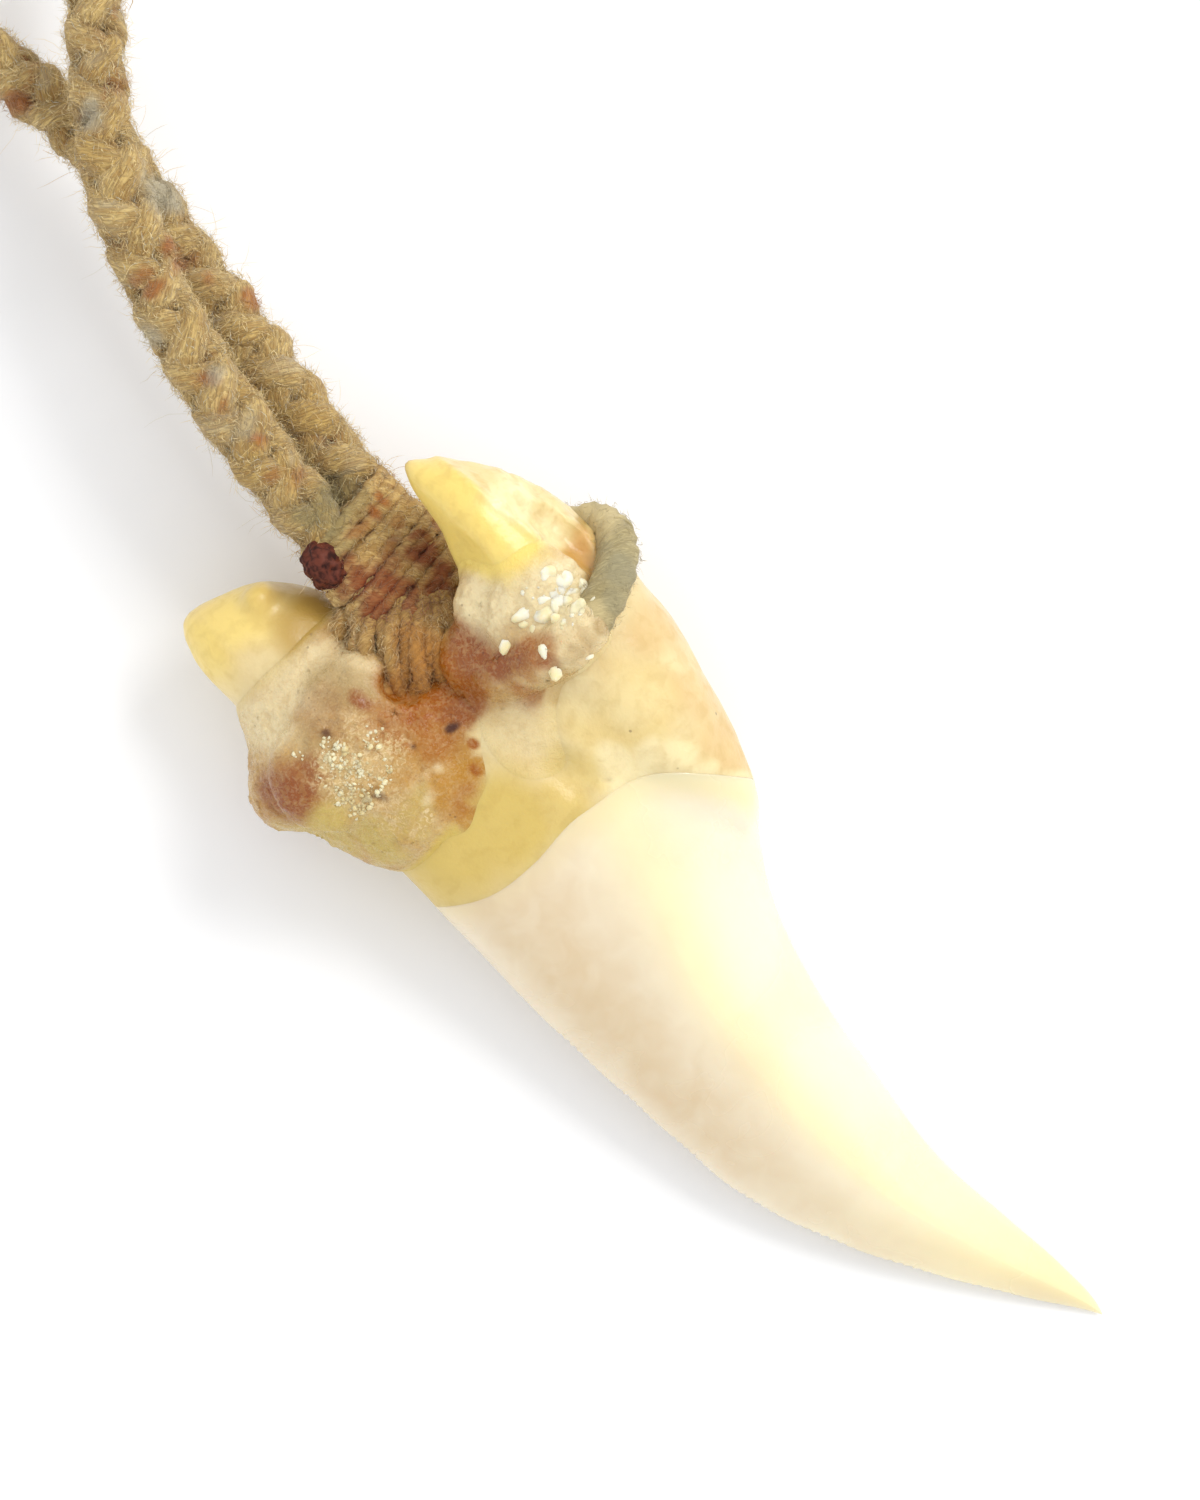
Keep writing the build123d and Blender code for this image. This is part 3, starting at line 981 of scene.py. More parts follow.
# %% Frayed neck of the left tie
FRAYED = (
    # radius, then pixel x, pixel y and height of its start, middle and end
    (0.34, (352, 598, 7.6), (340, 630, 8.6), (344, 658, 7.3)),
    (0.44, (360, 600, 8.2), (360, 634, 9.4), (350, 670, 8.1)),
    (0.38, (380, 602, 8.6), (366, 642, 9.9), (376, 682, 8.7)),
    (0.46, (376, 600, 8.5), (386, 638, 9.8), (380, 690, 8.8)),
    (0.36, (398, 602, 8.9), (390, 646, 10.3), (402, 700, 9.0)),
    (0.44, (404, 602, 8.8), (408, 644, 10.0), (396, 698, 8.8)),
    (0.4, (424, 600, 8.8), (416, 648, 10.3), (426, 700, 9.1)),
    (0.46, (420, 600, 8.6), (430, 640, 9.9), (414, 696, 9.0)),
    (0.38, (436, 598, 8.6), (438, 648, 10.1), (444, 690, 9.1)),
    (0.42, (442, 596, 8.4), (450, 630, 9.6), (440, 684, 9.2)),
)
frayed_lines = [walked_evenly([on_photo(*at) for at in row], TIE_STEP) for _, *row in FRAYED]
frayed_strands, frayed_yarns = zip(*(
    twisted(line, UPWARDS, radius, FRAYED_TWIST, FRAYED_SIDES, FRAYED_BULGE, 58 + n)
    for n, ((radius, *_), line) in enumerate(zip(FRAYED, frayed_lines))
))
frayed = add_tubes("neck_strands", "tie_cord", None, frayed_strands, {"yarn": np.concatenate(frayed_yarns)})

# %% [markdown]
# ## Thread binding
# A two-ply thread is wound round both ends of the cord. It is one long line: it goes round a shape
# like a running track while it climbs, a thread's width a turn, and no turn lies quite like the last.
# Under it lies a plain core, so no light comes through between the turns.

# %% Binding
BIND_START, BIND_LENGTH = -0.9, 6.9
BIND_RADIUS = 1.42
BIND_TURNS, STEPS_A_TURN = 13, 110
BIND_TILT, BIND_WOBBLE = 0.2, 0.26
THREAD_RADIUS, THREAD_TWIST, THREAD_SIDES = 0.32, 1.5, 10
THREAD_NOISE = (0.1, 0.5)  # height and size
CORE_RINGS = (
    # along from the start in mm, size as a share of the track
    (0.0, 0.4), (0.1, 0.9), (0.8, 1.0), (2.6, 1.04), (4.6, 1.03), (6.2, 0.98), (6.8, 0.9), (6.9, 0.4),
)
CORE_UNDER = 0.08

leg_starts = np.array([LEG_RIGHT[0], LEG_LEFT[0]])
BIND_AXIS = unit(np.array(LEG_RIGHT[1]) + np.array(LEG_LEFT[1]) - leg_starts.sum(0))
BIND_WIDE = leg_starts[1] - leg_starts[0]
BIND_WIDE = unit(BIND_WIDE - BIND_AXIS * (BIND_WIDE @ BIND_AXIS))
BIND_DEEP = np.cross(BIND_AXIS, BIND_WIDE)
BIND_MIDDLE = leg_starts.mean(0)
BIND_HALF = np.linalg.norm(leg_starts[1] - leg_starts[0]) / 2


def track(share, radius):
    """Round a running track: two half circles joined by straights, from a share of the way round."""
    straight, bend = 2 * BIND_HALF, math.pi * radius
    at = (share % 1.0) * 2 * (straight + bend)
    legs = [at < straight, at < straight + bend, at < 2 * straight + bend]
    turn_a = (at - straight) / radius
    turn_b = (at - 2 * straight - bend) / radius
    back = BIND_HALF - (at - straight - bend)
    wide = [at - BIND_HALF, BIND_HALF + radius * np.sin(turn_a), back]
    deep = [radius, radius * np.cos(turn_a), -radius]
    last_wide, last_deep = -BIND_HALF - radius * np.sin(turn_b), -radius * np.cos(turn_b)
    return np.select(legs, wide, last_wide), np.select(legs, deep, last_deep)


def in_binding(wide, deep, along):
    """Model place from distances across, through and along the binding."""
    return BIND_MIDDLE + np.stack([wide, deep, along], -1) @ np.stack([BIND_WIDE, BIND_DEEP, BIND_AXIS])


# %% Thread and core
def thread_rings():
    """The thread's rings: a two-ply profile on a line round the track that climbs a turn at a time."""
    turns = np.linspace(0.0, BIND_TURNS, BIND_TURNS * STEPS_A_TURN)
    wobble = noise_along(turns * 2.3, 1.0, 61)
    lift = noise_along(turns * 3.1, 1.0, 62, y=5.0)
    share = turns / BIND_TURNS
    belly = 0.14 * np.sin(np.pi * share) - 0.12 * share
    radius = BIND_RADIUS + belly + 0.07 * lift
    wide, deep = track(turns, radius.mean())
    grown = radius / radius.mean()
    wide, deep = wide * grown, deep * grown
    along = BIND_START + BIND_LENGTH * share + BIND_WOBBLE * wobble + BIND_TILT * wide
    line = in_binding(wide, deep, along)
    middle = in_binding(wide * 0.0, deep * 0.0, along)
    side, outward = frame_along(line, unit(line - middle))
    reach = line_length(line)[:, None]
    around = full_turn(THREAD_SIDES)[None, :]
    turned = around - reach * 2 * np.pi / THREAD_TWIST
    size = THREAD_RADIUS * (0.86 + 0.2 * np.abs(np.cos(turned)))
    rings = carried(line, side, outward, size * 1.12 * np.cos(around), size * 0.9 * np.sin(around))
    # 1 on the inner half and the sides of each turn, where painted shade goes
    recess_shade = np.broadcast_to(1.0 - eased(np.sin(around), 0.1, 0.85), size.shape)
    yarn = yarn_places(reach[:, 0], turned, THREAD_RADIUS)
    return roughened(rings, line, *THREAD_NOISE, 3, 63), yarn, recess_shade.ravel()


def core_rings():
    """Plain core under the thread: the track itself, closed at both ends."""
    wide, deep = track(np.linspace(0.0, 1.0, 48, endpoint=False), BIND_RADIUS - CORE_UNDER)
    rings = [
        in_binding(wide * size, deep * size, np.full_like(wide, BIND_START + along))
        for along, size in CORE_RINGS
    ]
    return np.array(rings)[:, ::-1]


thread, thread_yarn, thread_recess_shade = thread_rings()
core = core_rings()
core_yarn = tube_places(core) * MM
binding = add_tubes("binding_thread", "thread", "binding", [thread, core], {
    "yarn": np.concatenate([thread_yarn, core_yarn]),
    "recess_shade": np.concatenate([thread_recess_shade, np.ones(2 + len(core_yarn))]),
})

# %% [markdown]
# ## Resin
# The ties are drowned in old resin. It is a film over each lobe that swells where the tie runs
# under it, with a crust of crystals, a few open bubbles and a hollow between the lobes. Balls and
# tubes as fields, blended softly, give the lumps. Their places are read off the photograph, as a
# pixel and a height over the table.

# %% Resin lumps
RESIN_STEP = 0.145
RESIN_PROUD = 0.3

# along, across, up, half width, half height
FILM_LEFT = np.array([
    (-14.4, -6.6, 0.1, 1.2, 1.0),
    (-13.7, -6.4, 0.2, 3.3, 2.75),
    (-12.3, -6.5, 0.0, 4.2, 3.7),
    (-9.6, -6.5, 0.0, 5.1, 4.6),
    (-7.0, -6.1, 0.2, 5.2, 4.7),
    (-4.8, -6.4, 0.6, 4.2, 4.0),
    (-3.2, -7.1, 1.0, 2.4, 2.6),
    (-2.6, -7.2, 1.0, 0.9, 1.2),
])

# pixel x, pixel y, height in mm, then the radii across, up and along in mm
LUMPS_LEFT = (
    (292, 790, 5.6, 1.9, 2.2, 1.8), (345, 700, 9.2, 2.6, 1.1, 1.6), (330, 770, 9.2, 2.9, 1.1, 2.6),
    (430, 730, 8.3, 2.6, 1.7, 3.0), (462, 700, 8.6, 1.3, 1.5, 1.6), (463, 764, 8.5, 1.0, 0.9, 1.9),
    (446, 800, 8.2, 1.2, 0.9, 1.5),
)
LUMPS_RIGHT = (
    (532, 602, 12.8, 2.4, 0.9, 1.6), (488, 606, 11.2, 1.6, 1.1, 1.6),
    (474, 653, 10.0, 1.7, 1.45, 1.55), (506, 666, 10.8, 1.5, 1.3, 1.4),
)
SKIRT_RIGHT = ((520, 705, 9.3, 1.6, 0.75, 1.5), (532, 742, 8.9, 1.3, 0.7, 1.2))
VARNISH = 0.03
OFF_TABLE = 0.06
print("lumps", len(LUMPS_LEFT), len(LUMPS_RIGHT), len(SKIRT_RIGHT))

# %% Resin surface
# heights and sizes in mm
RESIN_WAVES, RESIN_WAVE_SIZE = 0.13, 1.7
GRAINS, CRUST_GRAINS, GRAINS_SIZE = 0.04, 0.11, 0.4
WRINKLES, WRINKLE_WIDTH, WRINKLE_SIZE = 0.09, 0.12, 1.0
TIE_BURIED = (80.0, 215.0)
BUBBLES = (
    # pixel x, pixel y, height in mm, radius in mm
    (334, 735, 10.35, 0.2), (300, 680, 8.9, 0.25), (357, 697, 10.2, 0.22),
    (382, 800, 9.6, 0.16), (414, 746, 10.0, 0.15), (351, 652, 7.6, 0.2),
)
POCKET_LEFT = ((404, 682, 10.3), (425, 668, 10.5), (452, 652, 10.9))
POCKET_RADIUS = 1.05
CRUST_SPOTS = (
    # x, y and radius in pixels, strength
    (350, 775, 42, 1.0), (335, 745, 30, 0.9), (375, 740, 30, 0.7), (390, 790, 26, 0.5),
    (556, 596, 44, 0.6), (405, 725, 30, 0.5),
)


# %% Resin fields
def seen_at(x, y, height):
    """Tooth coordinates of a pixel at a height over the table."""
    return in_fang(on_photo(x, y, height))


def lumps_field(local, lumps, reach):
    """Soft union of egg shapes given by pixel, height and radii."""
    total = np.full(len(local), 50.0)
    for x, y, height, *radii in lumps:
        total = soft_union(total, ball_distance(local, seen_at(x, y, height), radii), reach)
    return total


def wetting(local, body, reach, edge):
    """The body with a rim that creeps out over the root, thin as varnish, and dives under the bone."""
    near = body < edge + 0.5
    result = body.copy()
    coat = root_detail(local[near]) - VARNISH + 0.15 * eased(body[near], 0.2 * edge, edge)
    result[near] = np.maximum(soft_union(body[near], coat, reach), body[near] - edge)
    return result


def resin_left_field(local):
    """Film over the left lobe, the swelling over the tie, and the lumps towards the other lobe."""
    film = lump_distance(local, FILM_LEFT)
    over_tie = path_distance(local, in_fang(ring_line(*RING_LEFT, count=19)), TIE_RADIUS + RESIN_PROUD)
    body = soft_union(film, over_tie, 1.2)
    body = soft_union(body, lumps_field(local, LUMPS_LEFT, 0.8), 0.8)
    pocket = path_distance(local, np.array([seen_at(*row) for row in POCKET_LEFT]), POCKET_RADIUS)
    body = wetting(local, soft_overlap(body, -pocket, 0.3), 0.7, 0.5)
    return soft_overlap(body, OFF_TABLE - in_model(local)[:, 2], 0.5)


def resin_right_field(local):
    """Lumps on the right lobe, the swelling over its tie, and a film down the root to the enamel."""
    first, last = TIE_BURIED
    arc = in_fang(ring_line(*RING_RIGHT, count=9, first=first, last=last))
    over_tie = path_distance(local, arc, TIE_RADIUS + 0.6 * RESIN_PROUD)
    body = soft_union(lumps_field(local, LUMPS_RIGHT, 0.9), over_tie, 0.9)
    skirt = lumps_field(local, SKIRT_RIGHT, 0.8)
    return wetting(local, soft_union(body, skirt, 1.0), 1.2, 1.2)


def near_spots(places, spots):
    """How much each place is in a set of soft round spots, given by pixel, radius in pixels and strength."""
    pixels, total = pixel_of(places), np.zeros(len(places))
    for x, y, radius, strength in spots:
        away = np.linalg.norm(pixels - [x, y], axis=1) / radius
        total = np.maximum(total, strength * (1.0 - eased(away, 0.45, 1.25)))
    return total


def resin_detail(field, seed):
    """A resin field with slow waves, a crust of fine grains in its spots, and fine wrinkles everywhere."""
    def detailed(local):
        places = in_model(local)
        crust = near_spots(places, CRUST_SPOTS)
        waves = RESIN_WAVES * layered_noise(local, RESIN_WAVE_SIZE, 2, seed)
        grains = (GRAINS + CRUST_GRAINS * crust) * layered_noise(local, GRAINS_SIZE, 2, seed + 3)
        valley = layered_noise(local, WRINKLE_SIZE, 3, seed + 6) / WRINKLE_WIDTH
        wrinkles = -WRINKLES * np.exp(-(valley**2))
        thick = eased(root_field(local), 0.03, 0.5)
        value = field(local) + (waves + grains + wrinkles) * thick
        for x, y, height, radius in BUBBLES:
            value = np.maximum(value, -ball_distance(local, seen_at(x, y, height), (radius,) * 3))
        return value
    return detailed


def resin_piece(name, node, field, low, high, seed):
    """Resin lump as one piece; its vertices and their normals are kept for the grains that sit on it."""
    local, quads = field_surface(field, low, high, RESIN_STEP, polish=4, detail=resin_detail(field, seed))
    places = in_model(local)
    places[:, 2] = np.maximum(places[:, 2], REST_HEIGHT)
    masks = {"thin": 1.0 - eased(root_field(local), 0.06, 0.6)}
    piece = add_piece(name, "resin", node, places, quads, masks=masks)
    return piece, (places, surface_normals(places, quads))


resin_left, skin_left = resin_piece(
    "resin_left", "glue_left", resin_left_field, (-13.4, -6.6, -15.6), (1.0, 6.8, -0.8), 71
)
resin_right, skin_right = resin_piece(
    "resin_right", "glue_right", resin_right_field, (-4.2, -2.8, -12.0), (8.9, 9.8, 2.4), 81
)

# %% [markdown]
# ## Crystals
# White crystals have grown out of the resin. At the left they are crumbs, strewn by chance over a few
# spots. At the right they are larger soft lumps, each where the photograph shows it, with a few crumbs.
# Three of those lumps stand where the glossy resin shows highlights: they are painted highlights.
# All are small balls as grids, stretched, turned and roughened, so one function makes them.

# %% Crystals
CRUMB_SUNK, LUMP_SUNK = 0.05, 0.2
CRUMB_SPOTS = (
    # pixel x, pixel y, radius in pixels, share
    (346, 772, 26, 1.0), (330, 752, 18, 0.9), (354, 794, 24, 0.8), (376, 776, 22, 0.7),
    (298, 757, 6, 1.0), (372, 740, 16, 0.5), (556, 600, 36, 0.9),
)
WHITE_LUMPS_AND_HIGHLIGHTS = (
    # pixel x, pixel y, length and width in pixels, turn in degrees from the right of the picture
    (546, 574, 12, 9, 20), (562, 580, 12, 10, 0), (533, 587, 12, 10, 0), (583, 596, 14, 9, 70),
    (576, 610, 12, 9, 60), (571, 594, 10, 7, 40), (528, 609, 19, 8, 32), (549, 614, 16, 11, 30),
    (558, 602, 12, 9, 80), (544, 600, 10, 8, 10), (535, 631, 10, 6, 110), (567, 622, 9, 6, 20),
    # the lumps at 509, 643, at 547, 653 and at 553, 669 are painted highlights of the glossy resin
    (509, 643, 15, 7, 55), (547, 653, 9, 7, 120), (553, 669, 12, 9, 100), (588, 655, 7, 5, 0),
    (592, 606, 9, 6, 60), (520, 596, 9, 6, 30), (552, 590, 11, 8, 120), (541, 611, 10, 8, 60),
    (567, 604, 10, 8, 30), (536, 598, 9, 7, 0), (560, 590, 9, 7, 50), (558, 621, 9, 7, 140),
    (580, 584, 9, 7, 20), (584, 614, 8, 6, 90), (525, 622, 9, 6, 40),
)


def ball_tubes(centres, halves, turns, rows, columns, rough):
    """Rings of each ball: rows from pole to pole, times its half sizes, turned, roughened by noise."""
    down = np.linspace(np.pi, 0.0, rows + 2)[1:-1, None]
    angle = full_turn(columns)[None, :]
    out = np.sin(down)
    ball = np.stack([out * np.cos(angle), out * np.sin(angle), np.cos(down) + 0 * angle], -1)
    tubes = []
    for centre, half, turn in zip(centres, halves, turns):
        places = (ball * half).reshape(-1, 3) @ turn
        places *= 1.0 + rough * layered_noise(places + centre, 0.35, 2, seed=97)[:, None]
        tubes.append((centre + places).reshape(ball.shape))
    return tubes


def crumbs_on(skin, count, seed):
    """Crumbs on a surface, likelier in the middles of the spots, each of its own size and turn."""
    places, normals = skin
    rng = np.random.default_rng(seed)
    chance = near_spots(places, CRUMB_SPOTS) ** 2 * (normals[:, 2] > 0.25)
    chosen = rng.choice(len(places), count, replace=False, p=chance / chance.sum())
    halves = rng.uniform(0.04, 0.12, (count, 1)) * rng.uniform(0.6, 1.6, (count, 3))
    first = unit(rng.normal(size=(count, 3)))
    second = unit(np.cross(first, rng.normal(size=(count, 3))))
    turns = np.stack([first, second, np.cross(first, second)], 1)
    return ball_tubes((places - CRUMB_SUNK * normals)[chosen], halves, turns, 4, 7, 0.5)


def under_pixel(skin, x, y):
    """The vertex of a surface that shows at a pixel, seen from above."""
    places, normals = skin
    away = np.linalg.norm(pixel_of(places) - [x, y], axis=1) + np.where(normals[:, 2] > 0.1, 0.0, 999.0)
    return places[np.argmin(away)]


def white_lumps_and_highlights(skin):
    """Lumps where the photograph shows them, each longer along its turn, sunk a little into the resin."""
    x, y, long, wide, turn = np.array(WHITE_LUMPS_AND_HIGHLIGHTS, float).T
    centres = np.array([under_pixel(skin, *spot) for spot in zip(x, y)]) - [0.0, 0.0, LUMP_SUNK]
    angle = np.radians(turn) + PHOTO_TURN
    ahead = np.stack([np.cos(angle), np.sin(angle), 0 * angle], -1)
    up = np.broadcast_to(UPWARDS, ahead.shape)
    halves = np.stack([long, wide, 0.75 * wide], -1) * MM_PER_PIXEL * 0.9
    return ball_tubes(centres, halves, np.stack([ahead, np.cross(up, ahead), up], 1), 10, 14, 0.3)


crumbs = add_tubes("crystal_crumbs", "resin", None, crumbs_on(skin_left, 330, 91))
lumps = add_tubes("crystal_lumps_and_highlights", "resin", None, white_lumps_and_highlights(skin_right) + crumbs_on(skin_right, 36, 92))

# %% [markdown]
# ## Lacquer drop
# A dark red-brown drop of lacquer has set on the left of the binding. It is three balls run together,
# with a wrinkled skin.

# %% Drop
DROP_BALLS = (
    # pixel x, pixel y, height in mm, radii in mm
    (321, 560, 9.2, 0.9, 0.95, 0.85), (334, 571, 9.2, 0.75, 0.85, 0.7), (326, 579, 8.7, 0.55, 0.65, 0.55),
)
DROP_REACH, DROP_STEP, DROP_BLEND = 2.6, 0.1, 0.35
DROP_WRINKLES, DROP_WRINKLE_SIZE = 0.13, 0.38


def drop_field(local):
    """Balls run together, with small wrinkles."""
    wrinkles = DROP_WRINKLES * layered_noise(local, DROP_WRINKLE_SIZE, 3, seed=95)
    return lumps_field(local, DROP_BALLS, DROP_BLEND) + wrinkles


drop_centre = seen_at(*DROP_BALLS[0][:3])
drop_box = drop_centre - DROP_REACH, drop_centre + DROP_REACH
drop_local, drop_quads = field_surface(drop_field, *drop_box, DROP_STEP)
drop = add_piece("lacquer_bead", "lacquer", "lacquer_drop", in_model(drop_local), drop_quads)

# %% [markdown]
# ## Loose fibres
# The cord is old and felted: its surface is all short fibres, most of them lying roughly along it, and
# a dense down of fine hairs stands off and softens its outline. Hair curves would be lost in a mesh
# export, so each fibre is a thin closed spindle with three sides and two points. All of them are
# worked out at once: a root on a strand, a direction, a bend that grows with the square of the
# distance, and a curl.

# %% Fibres
LYING_RISE, LYING_ASIDE, LYING_CURL = (0.02, 0.5), 1.1, 0.15
HAIR_SPREAD, HAIR_BEND, HAIR_CURL = 0.7, 0.45, 0.12
FIBRE_PROUD = 0.015


def fibre_places(roots, directions, bends, lengths, radius, curl, rings, rng):
    """Spindles: root + direction x length x t + bend x length x t squared + a wave, in rings of three."""
    count = len(roots)
    t = np.linspace(0.0, 1.0, rings + 2)[None, :, None]
    sideways = unit(np.cross(directions, rng.normal(size=(count, 3))))[:, None]
    phase = rng.uniform(0, 2 * np.pi, (count, 1, 1))
    wave = np.sin(t * rng.uniform(3.0, 8.0, (count, 1, 1)) + phase) - np.sin(phase)
    size = lengths[:, None, None]
    line = roots[:, None] + size * (directions[:, None] * t + bends[:, None] * t**2 + sideways * curl * wave)
    forward = unit(np.gradient(line, axis=1))
    first = unit(np.cross(forward, sideways + 1e-3))[:, :, None]
    second = np.cross(forward[:, :, None], first)
    angle = full_turn(3)[None, None, :, None]
    body = line[:, :, None] + (first * np.cos(angle) + second * np.sin(angle)) * radius[:, None, None, None]
    return np.concatenate([body[:, 1:-1].reshape(count, -1, 3), line[:, :1], line[:, -1:]], 1)


def fibre_piece(name, slot, *sets):
    """One piece from sets of fibres. Within a set each fibre has the same faces."""
    tone = np.random.default_rng(7)
    parts, start = [], 0
    for fibres in sets:
        count, each = fibres.shape[:2]
        quads, ends, _ = tube_faces((each - 2) // 3, 3)
        shift = start + (each * np.arange(count))[:, None, None]
        parts.append((
            np.maximum(fibres, [-np.inf, -np.inf, REST_HEIGHT]).reshape(-1, 3),
            (quads + shift).reshape(-1, 4),
            (ends + shift).reshape(-1, 3),
            np.repeat(tone.uniform(0, 1, count), each),
        ))
        start += count * each
    places, quads, ends, tones = map(np.concatenate, zip(*parts))
    return add_piece(name, slot, None, places, quads, ends, {"tone": tones})


def on_tubes(place, rng, count):
    """Random surface points on the tubes of a place, with their outward and forward directions."""
    tubes, low, high = place
    found = []
    for rings, line in tubes:
        ring = rng.integers(low, min(high, len(rings)), count // len(tubes))
        column = rng.integers(0, rings.shape[1], len(ring))
        centre = rings.mean(1)
        point, ahead = rings[ring, column], unit(np.gradient(centre, axis=0))[ring]
        out = unit(point - centre[ring])
        if line is not None:
            off = point - line[ring]
            shown = ((unit(off) * out).sum(1) > 0.15) & (np.linalg.norm(off, axis=1) > 0.95)
            ahead = unit(ahead + 0.8 * unit(np.gradient(line, axis=0))[ring])
            point, out, ahead = point[shown], out[shown], ahead[shown]
        found.append((point, out, ahead))
    return map(np.concatenate, zip(*found))


def lying_fibres(place, rng, count, lengths, radii):
    """Fibres that lie along their strand, half way to the cord's own line, and lift a little."""
    roots, outward, forward = on_tubes(place, rng, count)
    count = len(roots)
    rise = rng.uniform(*LYING_RISE, count)[:, None]
    way = rng.choice([-1.0, 1.0], count)[:, None]
    aside = np.cross(outward, forward) * rng.normal(0, LYING_ASIDE, count)[:, None]
    directions = unit(forward * way + outward * rise + aside)
    bends = -outward * rise * rng.uniform(0.1, 1.0, count)[:, None]
    sizes, thick = rng.uniform(*lengths, count), rng.uniform(*radii, count)
    return fibre_places(roots + outward * FIBRE_PROUD, directions, bends, sizes, thick, LYING_CURL, 1, rng)


def standing_hairs(place, rng, count, lengths, radii, rings=1):
    """Hairs that stand off and curl."""
    roots, outward, _ = on_tubes(place, rng, count)
    count = len(roots)
    directions = unit(outward + rng.normal(0, HAIR_SPREAD, (count, 3)))
    bends = rng.normal(0, HAIR_BEND, (count, 3))
    sizes, thick = rng.uniform(*lengths, count), rng.uniform(*radii, count)
    return fibre_places(roots, directions, bends, sizes, thick, HAIR_CURL, rings, rng)


def alone(tubes):
    """Tubes that are no strands of a cord, so they have no other line."""
    return [(rings, None) for rings in tubes]


# %% Places and numbers of fibres
# tubes, and the first and last ring that fibres grow on
FINE_RINGS = int(FINE_LENGTH / FINE_STEP)
ON_CORD = (strands_right + strands_left, 36, FINE_RINGS)
ON_LOOP = (strands_right + strands_left, FINE_RINGS, 9999)
ON_THREAD = (alone([thread]), 5, len(thread) - 5)
ON_TIE = (alone([loop_right]), 2, 218)
ON_NECKS = (alone([neck_left, neck_right, *frayed_strands]), 2, 40)
ON_FRAYED = (alone(frayed_strands), 2, 40)

# radii in mm, from the thinnest to the thickest
THICK, FINE, LONG = (0.01, 0.022), (0.006, 0.011), (0.005, 0.009)

rng = np.random.default_rng(2024)
cord_fuzz = fibre_piece("cord_fuzz", "neck_cord", lying_fibres(ON_CORD, rng, 28000, (0.25, 0.85), THICK))
cord_hairs = fibre_piece(
    "cord_hairs", "neck_cord",
    standing_hairs(ON_CORD, rng, 45000, (0.15, 0.5), (0.006, 0.012)),
    standing_hairs(ON_CORD, rng, 900, (0.5, 1.8), LONG, 4),
)
loop_fuzz = fibre_piece(
    "loop_fuzz", "neck_cord",
    lying_fibres(ON_LOOP, rng, 17000, (0.5, 1.6), (0.018, 0.036)),
)
binding_fuzz = fibre_piece(
    "binding_fuzz", "thread",
    lying_fibres(ON_THREAD, rng, 6400, (0.2, 0.7), THICK),
    standing_hairs(ON_THREAD, rng, 4400, (0.12, 0.4), FINE),
    standing_hairs(ON_THREAD, rng, 260, (0.5, 1.6), LONG, 4),
)
tie_fuzz = fibre_piece(
    "tie_fuzz", "tie_cord",
    lying_fibres(ON_TIE, rng, 700, (0.25, 0.8), (0.008, 0.018)),
    standing_hairs(ON_TIE, rng, 1600, (0.12, 0.35), (0.006, 0.01)),
)
neck_fuzz = fibre_piece(
    "neck_fuzz", "tie_cord",
    lying_fibres(ON_NECKS, rng, 4400, (0.25, 0.9), THICK),
    standing_hairs(ON_FRAYED, rng, 1800, (0.12, 0.5), FINE),
)

# %% [markdown]
# ## Shader nodes in few words
# Materials are built from nodes in code, and a few helpers keep that readable. One adds a node and sets
# or links its inputs by name. One lays shades over a base colour, each by a mask, as glazes are laid
# over paint. And one turns the 0 to 255 values of a screen colour into the linear ones of shaders.

# %% Node helpers
DEEP = (1.0, 0.75, 0.5)


def tint(red, green, blue):
    """Linear colour from screen values, by the usual screen curve."""
    share = np.array([red, green, blue]) / 255.0
    linear = np.where(share <= 0.04045, share / 12.92, ((share + 0.055) / 1.055) ** 2.4)
    return (*linear.tolist(), 1.0)


def put(tree, kind, inputs=None, **settings):
    """Adds a node. Settings are its attributes; an input is a value, a socket or a stored mask's name."""
    node = tree.nodes.new("ShaderNode" + kind)
    for key, value in settings.items():
        setattr(node, key, value)
    for key, value in (inputs or {}).items():
        if isinstance(value, str):
            value = put(tree, "Attribute", attribute_name=value).outputs["Fac"]
        if isinstance(value, bpy.types.NodeSocket):
            tree.links.new(value, node.inputs[key])
        else:
            node.inputs[key].default_value = value
    return node


def worked(tree, operation, first, second):
    """Result of a sum on two values, kept between 0 and 1."""
    return put(tree, "Math", {0: first, 1: second}, operation=operation, use_clamp=True).outputs[0]


def ranged(tree, value, low, high, first=0.0, last=1.0, **settings):
    """Value carried over so that first gives low and last gives high."""
    inputs = {"Value": value, "From Min": first, "From Max": last, "To Min": low, "To Max": high}
    return put(tree, "MapRange", inputs, **settings).outputs["Result"]


def layered(tree, base, *layers):
    """Colour that starts from a base and takes each layer's shade, by the layer's mask times its share."""
    for mask, share, shade in layers:
        amount = worked(tree, "MULTIPLY", mask, share)
        base = put(tree, "Mix", {0: amount, 6: base, 7: shade}, data_type="RGBA").outputs[2]
    return base


def new_finish(name, **values):
    """Material and its nodes. Values that are the same everywhere are set on its shader's own sockets."""
    material = bpy.data.materials.new(name)
    material.use_nodes = True
    shader = material.node_tree.nodes["Principled BSDF"]
    for key, value in values.items():
        shader.inputs[key.replace("_", " ")].default_value = value
    return material, material.node_tree


def surface(material, colour, rough, height=None, depth=0.0, strength=1.0, **others):
    """Links colour, roughness and the normal of a height, with a depth in mm, to the material's shader."""
    tree = material.node_tree
    sockets = {"Base_Color": colour, "Roughness": rough, **others}
    if height is not None:
        bump = {"Height": height, "Distance": depth * MM, "Strength": strength}
        sockets["Normal"] = put(tree, "Bump", bump).outputs["Normal"]
    for key, socket in sockets.items():
        tree.links.new(socket, tree.nodes["Principled BSDF"].inputs[key.replace("_", " ")])
    return material


